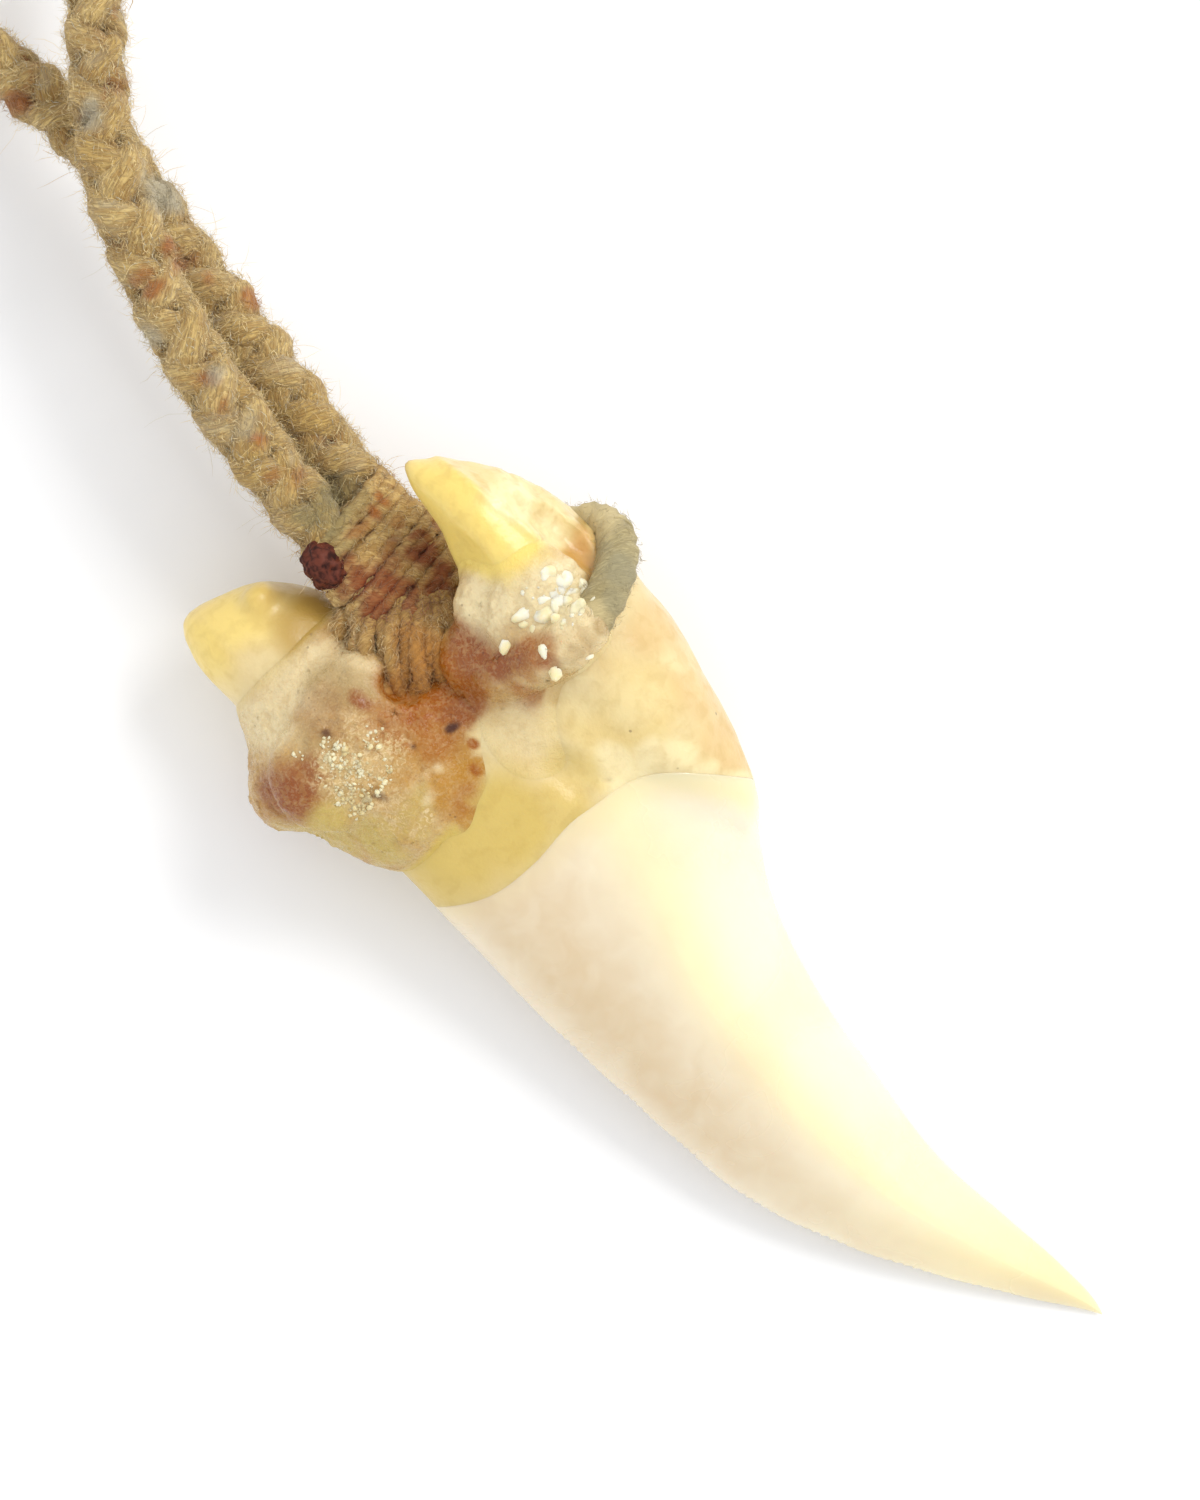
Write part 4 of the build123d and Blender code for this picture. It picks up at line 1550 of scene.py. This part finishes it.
print("cream", [round(v, 3) for v in tint(250, 238, 205)[:3]])

# %% [markdown]
# ## Effects that materials share
# Four effects come back in several finishes, so each is a node group with named inputs and outputs:
# cloudy mottles, fine grain in height, small specks, and the lie of fibres along a yarn. The groups put
# out only masks and heights. Sizes go in as millimetres.

# %% Shared node groups
def new_group(name, inputs, output):
    """Node group with a place and named numbers as inputs and one number as output."""
    group = bpy.data.node_groups.new(name, "ShaderNodeTree")
    group.interface.new_socket("Vector", in_out="INPUT", socket_type="NodeSocketVector")
    for key, value in inputs.items():
        group.interface.new_socket(key, in_out="INPUT", socket_type="NodeSocketFloat").default_value = value
    group.interface.new_socket(output, in_out="OUTPUT", socket_type="NodeSocketFloat")
    return group, group.nodes.new("NodeGroupInput").outputs, group.nodes.new("NodeGroupOutput").inputs[0]


def per_metre(tree, size):
    """How many of that size in millimetres go into a metre."""
    return put(tree, "Math", {0: 1000.0, 1: size}, operation="DIVIDE").outputs[0]


def mottle_group():
    """Clouds of a size: noise, cut to the stretch from low to high."""
    group, given, mask = new_group("mottle", {"Size": 1.0, "Low": 0.4, "High": 0.6, "Warp": 0.4}, "Mask")
    noise = put(group, "TexNoise", {
        "Vector": given["Vector"], "Scale": per_metre(group, given["Size"]),
        "Detail": 3.0, "Distortion": given["Warp"],
    }).outputs["Fac"]
    cut = ranged(group, noise, 0.0, 1.0, given["Low"], given["High"], interpolation_type="SMOOTHSTEP")
    group.links.new(cut, mask)
    return group


def grain_group():
    """Height of fine grain: a coarse noise and a fine one, added by share."""
    group, given, height = new_group("grain", {"Coarse": 0.6, "Fine": 0.12, "Share": 0.4}, "Height")
    coarse, fine = (
        put(group, "TexNoise", {
            "Vector": given["Vector"], "Scale": per_metre(group, given[key]), "Detail": 2.0,
        }).outputs["Fac"]
        for key in ("Coarse", "Fine")
    )
    both = put(group, "Mix", {0: given["Share"], 2: coarse, 3: fine}, data_type="FLOAT")
    group.links.new(both.outputs[0], height)
    return group


def speck_group():
    """Small dots: cells of a size, each with a dot of a radius in cells, in a share of the cells."""
    group, given, mask = new_group("specks", {"Spacing": 1.0, "Radius": 0.12, "Share": 0.4}, "Mask")
    cells = put(group, "TexVoronoi", {
        "Vector": given["Vector"], "Scale": per_metre(group, given["Spacing"]),
    }).outputs
    near = put(group, "Math", {0: cells["Distance"], 1: given["Radius"]}, operation="DIVIDE").outputs[0]
    dot = ranged(group, near, 0.0, 1.0, 1.2, 0.6, interpolation_type="SMOOTHSTEP")
    chosen = put(group, "SeparateColor", {"Color": cells["Color"]}).outputs["Red"]
    kept = put(group, "Math", {0: chosen, 1: given["Share"]}, operation="LESS_THAN").outputs[0]
    group.links.new(worked(group, "MULTIPLY", dot, kept), mask)
    return group


def fibre_group():
    """Fibres along a yarn: noise that is narrow round the yarn and long along it."""
    group, given, height = new_group("fibres", {"Width": 0.08, "Length": 1.2}, "Height")
    width, length = per_metre(group, given["Width"]), per_metre(group, given["Length"])
    scale = put(group, "CombineXYZ", {"X": width, "Y": width, "Z": length}).outputs[0]
    place = put(group, "VectorMath", {0: given["Vector"], 1: scale}, operation="MULTIPLY").outputs[0]
    noise = put(group, "TexNoise", {"Vector": place, "Scale": 1.0, "Detail": 2.0, "Distortion": 0.6})
    group.links.new(noise.outputs["Fac"], height)
    return group


GROUPS = {group.name: group for group in (mottle_group(), grain_group(), speck_group(), fibre_group())}


def effect(tree, name, along_yarn=False, **values):
    """One of the shared effects, on Object coordinates or along the yarn, with its own values."""
    if along_yarn:
        place = put(tree, "Attribute", attribute_name="yarn").outputs["Vector"]
    else:
        place = put(tree, "TexCoord").outputs["Object"]
    inputs = {key.capitalize(): value for key, value in values.items()}
    return put(tree, "Group", {"Vector": place, **inputs}, node_tree=GROUPS[name]).outputs[0]


print("groups", sorted(GROUPS))

# %% [markdown]
# ## Masks from spots
# Old bone and resin are never one colour. The photograph shows where they turn amber, ochre or white,
# so each stain is a few soft round spots at named places, pushed about by noise so that no edge is round.
# The masks are stored on the vertices. The materials then break them up finely with mottles. A few
# of the tables also hold painted shade and a painted highlight.

# %% Stain masks
SPOT_WARP, WARP_SIZE = 0.55, 2.2


def stain(places, spots, seed):
    """Mask of soft spots, with their edges pushed about by noise."""
    push = np.stack([layered_noise(places, WARP_SIZE, 2, seed + i) for i in range(3)], -1)
    return near_spots(places + SPOT_WARP * push, spots)


def dress(material, pieces, stains=None):
    """Gives pieces their material, and stores each named table of spots on them as a mask."""
    for piece in pieces:
        mesh = piece.data
        mesh.materials.append(material)
        places = np.empty(len(mesh.vertices) * 3, np.float32)
        mesh.vertices.foreach_get("co", places)
        for seed, (name, spots) in enumerate((stains or {}).items()):
            add_mask(mesh, name, stain(places.reshape(-1, 3) / MM, spots, 300 + 10 * seed))
    print(material.name, "on", [piece.name for piece in pieces])


# %% [markdown]
# ## Enamel finish
# Enamel is glossy and slightly see-through, so light spreads in it. It is cream white at the right
# and beige on the face that looks left, partly its own colour and partly painted shade, as that face
# looks away from the light. It yellows towards the point. Faint streaks run along it.

# %% Enamel finish
ENAMEL_CREAM = tint(238, 228, 202)
# beige of the enamel, also laid on the left face as painted shade
ENAMEL_BEIGE_AND_SHADE = tint(216, 192, 152)
ENAMEL_YELLOW = tint(244, 228, 172)
ENAMEL_ROOT = tint(238, 219, 164)
ENAMEL_SPECK = tint(170, 150, 116)


def enamel_masks(local):
    """Beige and painted shade on the left face near the root, yellow along the middle and at the point, and
    near the root.
    """
    t = share_of_width(local, 1.2)
    beige_and_shade = (1.0 - eased(t, -0.55, 0.45)) * (1.0 - 0.75 * eased(local[:, 2], 12.0, 30.0))
    beige_and_shade *= 0.55 + 0.45 * eased(t, -1.0, -0.7)
    yellow = np.maximum(eased(local[:, 2], 16.0, 33.0), 0.7 * np.exp(-(((t - 0.25) / 0.28) ** 2)))
    near_root = 1.0 - eased(local[:, 2] - enamel_line_at(local), 0.0, 1.6)
    return {"beige_and_shade": beige_and_shade, "yellow": yellow, "near_root": near_root}


def enamel_finish():
    """Glossy cream enamel with streaks along it, a few tiny specks, and painted shade over its left face."""
    material, tree = new_finish(
        "enamel", IOR=1.6, Subsurface_Weight=0.25, Subsurface_Scale=0.0015, Subsurface_Radius=DEEP,
        Coat_Weight=0.45, Coat_Roughness=0.12,
    )
    streaks = effect(tree, "fibres", width=1.4, length=12.0)
    clouds = effect(tree, "mottle", size=5.0, low=0.35, high=0.7)
    colour = layered(
        tree, ENAMEL_CREAM,
        ("yellow", 1.0, ENAMEL_YELLOW),
        (clouds, 0.3, ENAMEL_BEIGE_AND_SHADE),
        ("near_root", 0.8, ENAMEL_ROOT),
        # painted shade on the face that looks left, away from the light, together with its own beige
        ("beige_and_shade", ranged(tree, streaks, 0.6, 1.0, 0.2, 0.7), ENAMEL_BEIGE_AND_SHADE),
        (effect(tree, "specks", spacing=2.6, radius=0.035, share=0.35), 0.6, ENAMEL_SPECK),
    )
    grain = effect(tree, "grain", coarse=1.6, fine=0.25, share=0.25)
    return surface(material, colour, ranged(tree, clouds, 0.2, 0.36), grain, 0.03, 0.5)


for key, values in enamel_masks(enamel_local).items():
    add_mask(enamel.data, key, values)
dress(enamel_finish(), [enamel])

# %% [markdown]
# ## Root finish
# The root is bone: cream where it is worn, yellow where old resin has soaked in, with a grain finer
# than the eye and a few dark pores. Its two faces at the right lobe differ, and a warm band runs down
# the right side. Ochre is partly its own stain and partly painted shade in the dip beside the binding,
# olive is painted shade on the lower left, which looks away from the light, and a pale spot on the boss
# at the enamel line is a painted highlight.

# %% Root finish
ROOT_CREAM = tint(217, 192, 136)
# pale bone, also used as a painted highlight on the boss
ROOT_PALE_AND_HIGHLIGHT = tint(240, 222, 168)
ROOT_SPECK = tint(120, 92, 52)
ROOT_YELLOW = tint(236, 208, 112)
# ochre of the fine specks on the rough face, also used as painted shade
ROOT_OCHRE_AND_SHADE = tint(180, 144, 60)
ROUGH_CREAM = tint(226, 204, 142)
ROOT_SHADES = {
    "olive_and_shade": tint(208, 180, 92),
    "ochre_and_shade": ROOT_OCHRE_AND_SHADE,
    "orange": tint(206, 156, 80),
    "pale": ROOT_PALE_AND_HIGHLIGHT,
}
ROOT_STAINS = {
    # x, y and radius in pixels, strength
    "yellow": (
        (440, 500, 50, 1.0), (480, 540, 56, 1.0), (530, 570, 40, 1.0), (190, 650, 60, 0.9),
        (240, 610, 50, 0.8), (620, 720, 60, 0.35), (600, 765, 30, 0.5),
    ),
    # pale: paler bone, mostly along the enamel line; the spot at 616, 770 is a painted highlight on the boss
    "pale": (
        (512, 500, 26, 1.0), (545, 528, 24, 1.0), (616, 770, 24, 0.9), (635, 700, 34, 0.4),
        (590, 700, 30, 0.5), (650, 764, 20, 0.9), (682, 764, 20, 0.9), (712, 774, 18, 0.8),
        (738, 782, 14, 0.7),
    ),
    # olive: painted shade on the lower left of the root, which looks away from the light; the spot at 560,
    # 760 is a greenish streak of its own
    "olive_and_shade": (
        (440, 850, 80, 1.0), (500, 830, 70, 1.0), (560, 810, 45, 0.8), (400, 900, 60, 0.9),
        (560, 760, 24, 0.5),
    ),
    # ochre: partly a stain of its own, partly painted shade in the dip between the left lobe and the binding
    "ochre_and_shade": (
        (318, 622, 52, 0.9), (345, 636, 30, 0.9), (280, 604, 34, 0.4), (210, 720, 30, 0.3),
        (579, 520, 12, 1.0),
    ),
    "orange": (
        (578, 556, 26, 1.0), (594, 575, 16, 0.8), (700, 690, 36, 0.3), (730, 745, 40, 0.35),
        (660, 625, 28, 0.3),
    ),
}


def bone_colour(tree):
    """Cream bone with its stains, painted shade and a painted highlight, cloudy at two sizes, with dark
    pores. The small clouds come out too.
    """
    clouds = effect(tree, "mottle", size=3.2, low=0.35, high=0.7)
    crumbs = effect(tree, "mottle", size=0.7, low=0.42, high=0.72)
    return layered(
        tree, ROOT_CREAM,
        (clouds, 0.45, ROOT_PALE_AND_HIGHLIGHT),
        (worked(tree, "SUBTRACT", "yellow", "rough_side"), 1.0, ROOT_YELLOW),
        ("rough_side", 0.8, ROUGH_CREAM),
        *((name, 1.0, shade) for name, shade in ROOT_SHADES.items()),
        (crumbs, ranged(tree, "rough_side", 0.2, 0.32), ROOT_OCHRE_AND_SHADE),
        (effect(tree, "specks", spacing=1.5, radius=0.06, share=0.4), 0.6, ROOT_SPECK),
    ), crumbs


def root_finish():
    """Bone with a fine grain under a thin shine."""
    material, tree = new_finish(
        "root", Subsurface_Weight=0.2, Subsurface_Scale=0.0012, Subsurface_Radius=DEEP,
        Coat_Weight=0.25, Coat_Roughness=0.3,
    )
    colour, crumbs = bone_colour(tree)
    grain = effect(tree, "grain", coarse=0.9, fine=0.16, share=0.4)
    return surface(material, colour, ranged(tree, crumbs, 0.34, 0.55), grain, 0.09, 0.6)


dress(root_finish(), [fang_root], ROOT_STAINS)

# %% [markdown]
# ## Resin finish
# Old resin goes from clear amber to whitish and crusted. Where it stayed clear it is red-brown and
# has a shine; where it frosted it is pale and dull, and where it is thin the bone shows through. Light
# spreads inside it, so its shadows are warm. The crust is rougher than the rest. Dark dots in three of
# its open bubbles are painted shade.

# %% Resin finish
RESIN_TAN = tint(180, 142, 86)
RESIN_FROST = tint(212, 188, 140)
RESIN_CRUST = tint(198, 170, 116)
RESIN_FLAKE = tint(236, 214, 168)
RESIN_GAP = tint(142, 96, 48)
# dark of the specks and of one dot, also painted shade in the open bubbles
RESIN_SPECK_AND_PIT_SHADE = tint(74, 34, 14)
RESIN_GOLD = tint(206, 158, 66)
RESIN_SHADES = {
    "moss": tint(192, 168, 88),
    "frost": tint(228, 210, 164),
    "grey": tint(166, 138, 88),
    "gold": tint(178, 126, 40),
    "amber": tint(154, 84, 2),
    "red": tint(138, 72, 12),
}
RESIN_STAINS = {
    # x, y and radius in pixels, strength
    "frost": (
        (290, 676, 46, 0.8), (265, 720, 40, 0.9), (350, 664, 34, 0.6), (495, 600, 50, 0.95),
        (555, 600, 56, 0.95), (604, 628, 34, 0.8), (560, 660, 40, 0.7), (535, 740, 46, 0.8),
        (500, 752, 28, 0.9), (438, 745, 8, 0.9), (434, 770, 8, 0.9), (428, 800, 9, 0.9),
    ),
    "grey": (
        (335, 690, 34, 0.8), (318, 740, 24, 0.6), (365, 688, 22, 0.7), (622, 604, 14, 0.9),
        (602, 622, 18, 0.9), (588, 646, 16, 0.5), (572, 668, 14, 0.5), (556, 686, 14, 0.4),
        (340, 800, 20, 0.5),
    ),
    "gold": (
        (460, 770, 26, 1.0), (448, 748, 26, 0.9), (446, 792, 22, 0.9), (405, 772, 26, 0.6),
        (420, 740, 36, 0.8), (474, 762, 16, 1.0), (470, 805, 20, 0.9), (436, 650, 26, 0.7),
        (566, 684, 18, 0.5),
    ),
    "moss": (
        (330, 832, 36, 0.9), (385, 842, 34, 0.9), (300, 822, 22, 0.6), (420, 815, 22, 0.6),
        (560, 690, 30, 0.5),
    ),
    "amber": (
        (425, 706, 34, 1.0), (458, 706, 30, 1.0), (398, 728, 34, 0.75), (378, 738, 22, 0.6),
        (464, 806, 20, 0.5), (479, 745, 9, 1.0), (480, 775, 9, 0.9), (400, 680, 24, 1.0),
        (430, 665, 28, 1.0), (530, 696, 20, 0.7), (540, 655, 18, 0.8), (446, 690, 28, 1.0),
        (440, 740, 30, 0.7),
    ),
    "red": (
        (290, 792, 34, 1.0), (302, 770, 22, 0.9), (322, 718, 28, 0.3), (356, 697, 12, 0.9),
        (476, 656, 34, 1.0), (506, 660, 26, 1.0), (468, 640, 22, 0.9), (543, 662, 10, 0.7),
        (470, 708, 20, 0.7), (455, 716, 12, 0.6),
    ),
    "crust": (
        (345, 782, 36, 0.9), (330, 756, 24, 0.8), (375, 764, 34, 0.8), (395, 804, 26, 0.6),
        (434, 816, 9, 1.0), (424, 830, 9, 1.0), (355, 735, 24, 0.6),
    ),
    # dark: a dot of its own at 455, 723; the other three are painted shade in open bubbles
    "dark": ((455, 723, 6, 1.0), (334, 735, 7, 0.8), (414, 746, 4, 0.7), (382, 801, 4, 0.6)),
}


def resin_finish():
    """Resin: tan with its stains, frosted in clouds, crusted in crumbs, with glossy clear parts and painted
    shade in its bubbles.
    """
    material, tree = new_finish(
        "resin", Subsurface_Weight=0.2, Subsurface_Scale=0.0007, Subsurface_Radius=DEEP,
        Specular_IOR_Level=0.35, Coat_Roughness=0.1,
    )
    clouds = effect(tree, "mottle", size=1.5, low=0.4, high=0.62)
    crumbs = effect(tree, "mottle", size=0.42, low=0.45, high=0.6, warp=1.2)
    fine = effect(tree, "mottle", size=0.2, low=0.45, high=0.7, warp=0.6)
    gaps = effect(tree, "mottle", size=0.3, low=0.56, high=0.66, warp=1.0)
    flakes = effect(tree, "mottle", size=0.24, low=0.5, high=0.6, warp=1.5)
    stained = ranged(tree, crumbs, 1.0, 0.75)
    clear = worked(tree, "MAXIMUM", "amber", worked(tree, "MAXIMUM", "gold", "red"))
    thin = worked(tree, "SUBTRACT", "thin", clear)
    bone, _ = bone_colour(tree)
    colour = layered(
        tree, RESIN_TAN,
        (clouds, 0.5, RESIN_FROST),
        (fine, 0.4, RESIN_GOLD),
        (crumbs, 0.4, RESIN_TAN),
        (gaps, 0.5, RESIN_GAP),
        *((name, stained, shade) for name, shade in RESIN_SHADES.items()),
        ("crust", ranged(tree, crumbs, 0.25, 1.0), RESIN_CRUST),
        (flakes, ranged(tree, "crust", 0.1, 0.5), RESIN_FLAKE),
        (effect(tree, "specks", spacing=0.7, radius=0.1, share=0.3), 0.4, RESIN_SPECK_AND_PIT_SHADE),
        # painted shade in the bubbles, and one dark dot of its own
        ("dark", 1.0, RESIN_SPECK_AND_PIT_SHADE),
        (thin, 1.0, bone),
    )
    dull = worked(tree, "MAXIMUM", "crust", worked(tree, "MULTIPLY", crumbs, 0.5))
    dull = worked(tree, "MAXIMUM", dull, worked(tree, "MULTIPLY", thin, 0.5))
    shine = worked(tree, "MULTIPLY", worked(tree, "SUBTRACT", "red", dull), 0.3)
    grain = effect(tree, "grain", coarse=0.35, fine=0.1, share=0.45)
    return surface(material, colour, ranged(tree, dull, 0.22, 0.7), grain, 0.12, 0.8, Coat_Weight=shine)


dress(resin_finish(), [resin_left, resin_right], ROOT_STAINS | RESIN_STAINS)

# %% [markdown]
# ## Crystal finish
# The grains are white to straw coloured and let light in, so their shaded sides glow a little.

# %% Crystal finish
def crystal_finish(name, pale, straw):
    """Pale to straw grains that let light in."""
    material, tree = new_finish(
        name, Subsurface_Weight=0.4, Subsurface_Scale=0.0006, Subsurface_Radius=DEEP,
        Coat_Weight=0.1, Coat_Roughness=0.3,
    )
    tone = effect(tree, "mottle", size=1.1, low=0.4, high=0.62)
    grain = effect(tree, "grain", coarse=0.12, fine=0.04)
    colour = layered(tree, pale, (tone, 1.0, straw))
    return surface(material, colour, ranged(tree, tone, 0.4, 0.6), grain, 0.015, 0.5)


# the white lumps include three painted highlights
dress(crystal_finish("white_crystal_and_highlight", tint(244, 234, 206), tint(234, 216, 164)), [lumps])
dress(crystal_finish("straw_crystal", tint(238, 222, 176), tint(212, 186, 130)), [crumbs])

# %% [markdown]
# ## Cord finish
# The cord is undyed yarn gone tan, with orange-brown dirt in spots and grey lint on top. Deep between
# its strands it is darker, which is painted shade, and orange-brown in clouds. The pattern reads the
# yarn's own straight coordinates, so its fibres follow every turn of every strand.

# %% Cord finish
YARN_TAN = tint(202, 168, 96)
YARN_LIGHT = tint(234, 208, 144)
YARN_BROWN_AND_SHADE = tint(140, 98, 36)
YARN_ORANGE = tint(164, 88, 18)
YARN_GREY = tint(184, 178, 156)
FELT_GREEN = tint(134, 124, 82)
CORD_STAINS = {
    # x, y and radius in pixels, strength
    "rust": (
        (165, 252, 11, 1.0), (176, 270, 10, 0.9), (165, 290, 11, 0.9), (147, 278, 10, 0.8),
        (199, 378, 11, 0.8), (207, 284, 10, 0.7), (256, 306, 12, 0.9), (191, 264, 9, 0.7),
        (262, 436, 10, 0.9), (276, 474, 9, 0.7), (218, 404, 9, 0.6), (8, 104, 16, 1.0),
        (118, 92, 9, 0.5), (300, 478, 10, 0.6),
    ),
    "lint": (
        (165, 196, 22, 1.0), (149, 339, 16, 0.7), (215, 378, 12, 0.8), (96, 120, 18, 0.9),
        (240, 420, 14, 0.5),
    ),
    "green": ((322, 498, 24, 0.9), (304, 516, 18, 0.8), (342, 486, 16, 0.6), (330, 525, 20, 0.8)),
}


def yarn_colour(tree, base, light, dark, *layers):
    """Colour and height of yarn: light stretches, felt, painted shade in the gaps between fibres, lint, and
    its own layers.
    """
    stretches = effect(tree, "mottle", True, size=4.0, low=0.38, high=0.66)
    felt = effect(tree, "mottle", True, size=0.34, low=0.36, high=0.62, warp=1.6)
    lint = effect(tree, "mottle", True, size=2.2, low=0.58, high=0.76, warp=1.0)
    fibres = effect(tree, "fibres", True, width=0.06, length=0.5)
    # gaps: painted shade where the fibres' height is low
    gaps = ranged(tree, fibres, 0.0, 1.0, 0.52, 0.32)
    height = put(tree, "Mix", {0: 0.4, 2: fibres, 3: felt}, data_type="FLOAT").outputs[0]
    return layered(
        tree, base,
        (stretches, 0.6, light),
        (felt, 0.55, dark),
        (gaps, 0.6, dark),
        (lint, 0.4, YARN_GREY),
        *layers,
    ), height


def cord_finish():
    """Felted yarn, darker deep in the cord as painted shade, orange-brown there in clouds and in spots of
    dirt.
    """
    material, tree = new_finish(
        "cord", Sheen_Weight=0.35, Sheen_Roughness=0.5, Sheen_Tint=tint(255, 244, 220),
    )
    clouds = effect(tree, "mottle", size=2.2, low=0.5, high=0.6)
    # rust: dirt in spots, and orange-brown in clouds deep in the cord
    rust = worked(tree, "MAXIMUM", "rust", worked(tree, "MULTIPLY", "depth", clouds))
    colour, height = yarn_colour(
        tree, YARN_TAN, YARN_LIGHT, YARN_BROWN_AND_SHADE,
        # painted shade: darker deep between the strands
        ("depth", 0.85, YARN_BROWN_AND_SHADE),
        (rust, 0.85, YARN_ORANGE),
        ("lint", 0.75, YARN_GREY),
        ("green", 0.75, FELT_GREEN),
    )
    return surface(material, colour, ranged(tree, height, 0.95, 0.75), height, 0.2)


dress(cord_finish(), [cord_right, cord_left], CORD_STAINS)

# %% [markdown]
# ## Loose fibre finish
# Each loose fibre has one tone from end to end, stored on its vertices. A few are grey, most are tan.

# %% Fibre finish
def fibre_finish(name, light, dark, grey, *stains):
    """Thin fibres, each of its own tone, darker in clouds, stained like the yarn they lie on."""
    material, tree = new_finish(name, Sheen_Weight=0.12, Sheen_Roughness=0.4)
    colour = layered(
        tree, light,
        ("tone", 1.0, dark),
        (ranged(tree, "tone", 0.0, 1.0, 0.86, 0.9), 1.0, grey),
        (effect(tree, "mottle", size=1.8, low=0.45, high=0.7), 0.35, dark),
        *((mask, 0.75, shade) for mask, shade in stains),
    )
    return surface(material, colour, ranged(tree, "tone", 0.6, 0.9))


cord_fibres = fibre_finish(
    "cord_fibres", tint(252, 234, 180), tint(190, 148, 70), tint(206, 200, 176),
    ("rust", YARN_ORANGE), ("lint", YARN_GREY), ("green", FELT_GREEN),
)
dress(cord_fibres, [cord_fuzz, cord_hairs], CORD_STAINS)
dress(cord_fibres, [loop_fuzz])

# %% [markdown]
# ## Thread, tie and lacquer
# The binding thread is the same yarn with a red-brown stain at its lower end and a grey-green patch
# beside the cord, and painted shade where each turn tucks under the next. The ties are greyer, and
# their necks are soaked with amber resin. The drop is dark red-brown and has dried dull.

# %% Thread, tie and lacquer finishes
THREAD_TAN = tint(206, 172, 108)
THREAD_RED = tint(126, 46, 10)
THREAD_STAINS = {
    # x, y and radius in pixels, strength
    "red": (
        (366, 588, 18, 1.0), (392, 586, 24, 1.0), (380, 614, 20, 1.0), (428, 556, 16, 1.0),
        (448, 570, 15, 1.0), (442, 588, 18, 1.0), (416, 612, 18, 0.9), (420, 536, 9, 0.9),
        (402, 562, 14, 0.7), (350, 570, 14, 0.8), (410, 592, 20, 0.9), (340, 590, 14, 0.8),
        (436, 606, 14, 0.9), (404, 545, 8, 0.6),
    ),
    "rust": (
        (374, 500, 8, 0.9), (362, 516, 10, 1.0), (440, 530, 9, 0.7), (352, 530, 8, 0.6),
        (386, 520, 8, 0.5),
    ),
    "green": ((320, 520, 32, 0.9), (350, 500, 26, 0.6), (345, 540, 20, 0.6), (335, 560, 24, 0.5)),
}
TIE_GREY, TIE_LIGHT, TIE_DARK = tint(178, 162, 116), tint(200, 186, 140), tint(134, 118, 76)
TIE_BLUE, TIE_CREAM, TIE_AMBER = tint(146, 138, 108), tint(212, 192, 140), tint(178, 122, 54)
TIE_STAINS = {
    "cream": ((582, 522, 26, 0.9), (606, 520, 18, 0.8), (598, 612, 14, 0.6)),
    "blue": ((630, 572, 20, 0.9), (622, 596, 14, 0.7), (612, 545, 10, 0.4)),
    "soaked": ((424, 674, 42, 1.0), (404, 692, 30, 1.0), (412, 646, 22, 0.8)),
}
LACQUER_RED, LACQUER_DEEP = tint(100, 44, 26), tint(48, 18, 12)


def thread_finish():
    """Yarn with the red-brown and grey-green stains of the binding, and painted shade on the sides of each
    turn.
    """
    material, tree = new_finish("thread", Sheen_Weight=0.08, Specular_IOR_Level=0.3)
    colour, height = yarn_colour(
        tree, THREAD_TAN, YARN_LIGHT, YARN_BROWN_AND_SHADE,
        ("green", 0.8, FELT_GREEN),
        # painted shade on the inner half and sides of each turn
        ("recess_shade", 0.5, YARN_BROWN_AND_SHADE),
        ("rust", 0.8, YARN_ORANGE),
        ("red", ranged(tree, "recess_shade", 0.8, 1.0), THREAD_RED),
    )
    return surface(material, colour, ranged(tree, height, 0.95, 0.7), height, 0.06, 0.9)


def tie_finish(name, base, light, dark):
    """Cord of the ties, amber where resin has soaked its neck."""
    material, tree = new_finish(name, Sheen_Weight=0.08, Specular_IOR_Level=0.3)
    colour, height = yarn_colour(
        tree, base, light, dark,
        ("cream", 0.9, TIE_CREAM),
        ("blue", 0.75, TIE_BLUE),
        ("soaked", 0.95, TIE_AMBER),
    )
    return surface(material, colour, ranged(tree, height, 0.85, 0.6), height, 0.08, 0.8)


def lacquer_finish():
    """Dark red-brown lacquer, deeper in clouds, dull."""
    material, tree = new_finish("lacquer", Specular_IOR_Level=0.3)
    clouds = effect(tree, "mottle", size=0.28, low=0.35, high=0.7)
    colour = layered(tree, LACQUER_RED, (clouds, 1.0, LACQUER_DEEP))
    grain = effect(tree, "grain", coarse=0.2, fine=0.06)
    return surface(material, colour, ranged(tree, clouds, 0.6, 0.9), grain, 0.04, 0.7)


thread_fibres = fibre_finish(
    "thread_fibres", tint(238, 214, 158), tint(160, 106, 52), tint(204, 190, 148),
    ("green", FELT_GREEN), ("rust", YARN_ORANGE), ("soaked", TIE_AMBER), ("red", THREAD_RED),
)
dress(thread_finish(), [binding], THREAD_STAINS)
dress(thread_fibres, [binding_fuzz, neck_fuzz], THREAD_STAINS | TIE_STAINS)
dress(tie_finish("tie", TIE_GREY, TIE_LIGHT, TIE_DARK), [tie_left, tie_right], TIE_STAINS)
dress(tie_finish("frayed_tie", tint(184, 146, 84), tint(212, 180, 122), YARN_BROWN_AND_SHADE), [frayed], TIE_STAINS)
dress(fibre_finish("tie_fibres", TIE_LIGHT, TIE_DARK, TIE_GREY), [tie_fuzz])
dress(lacquer_finish(), [drop])
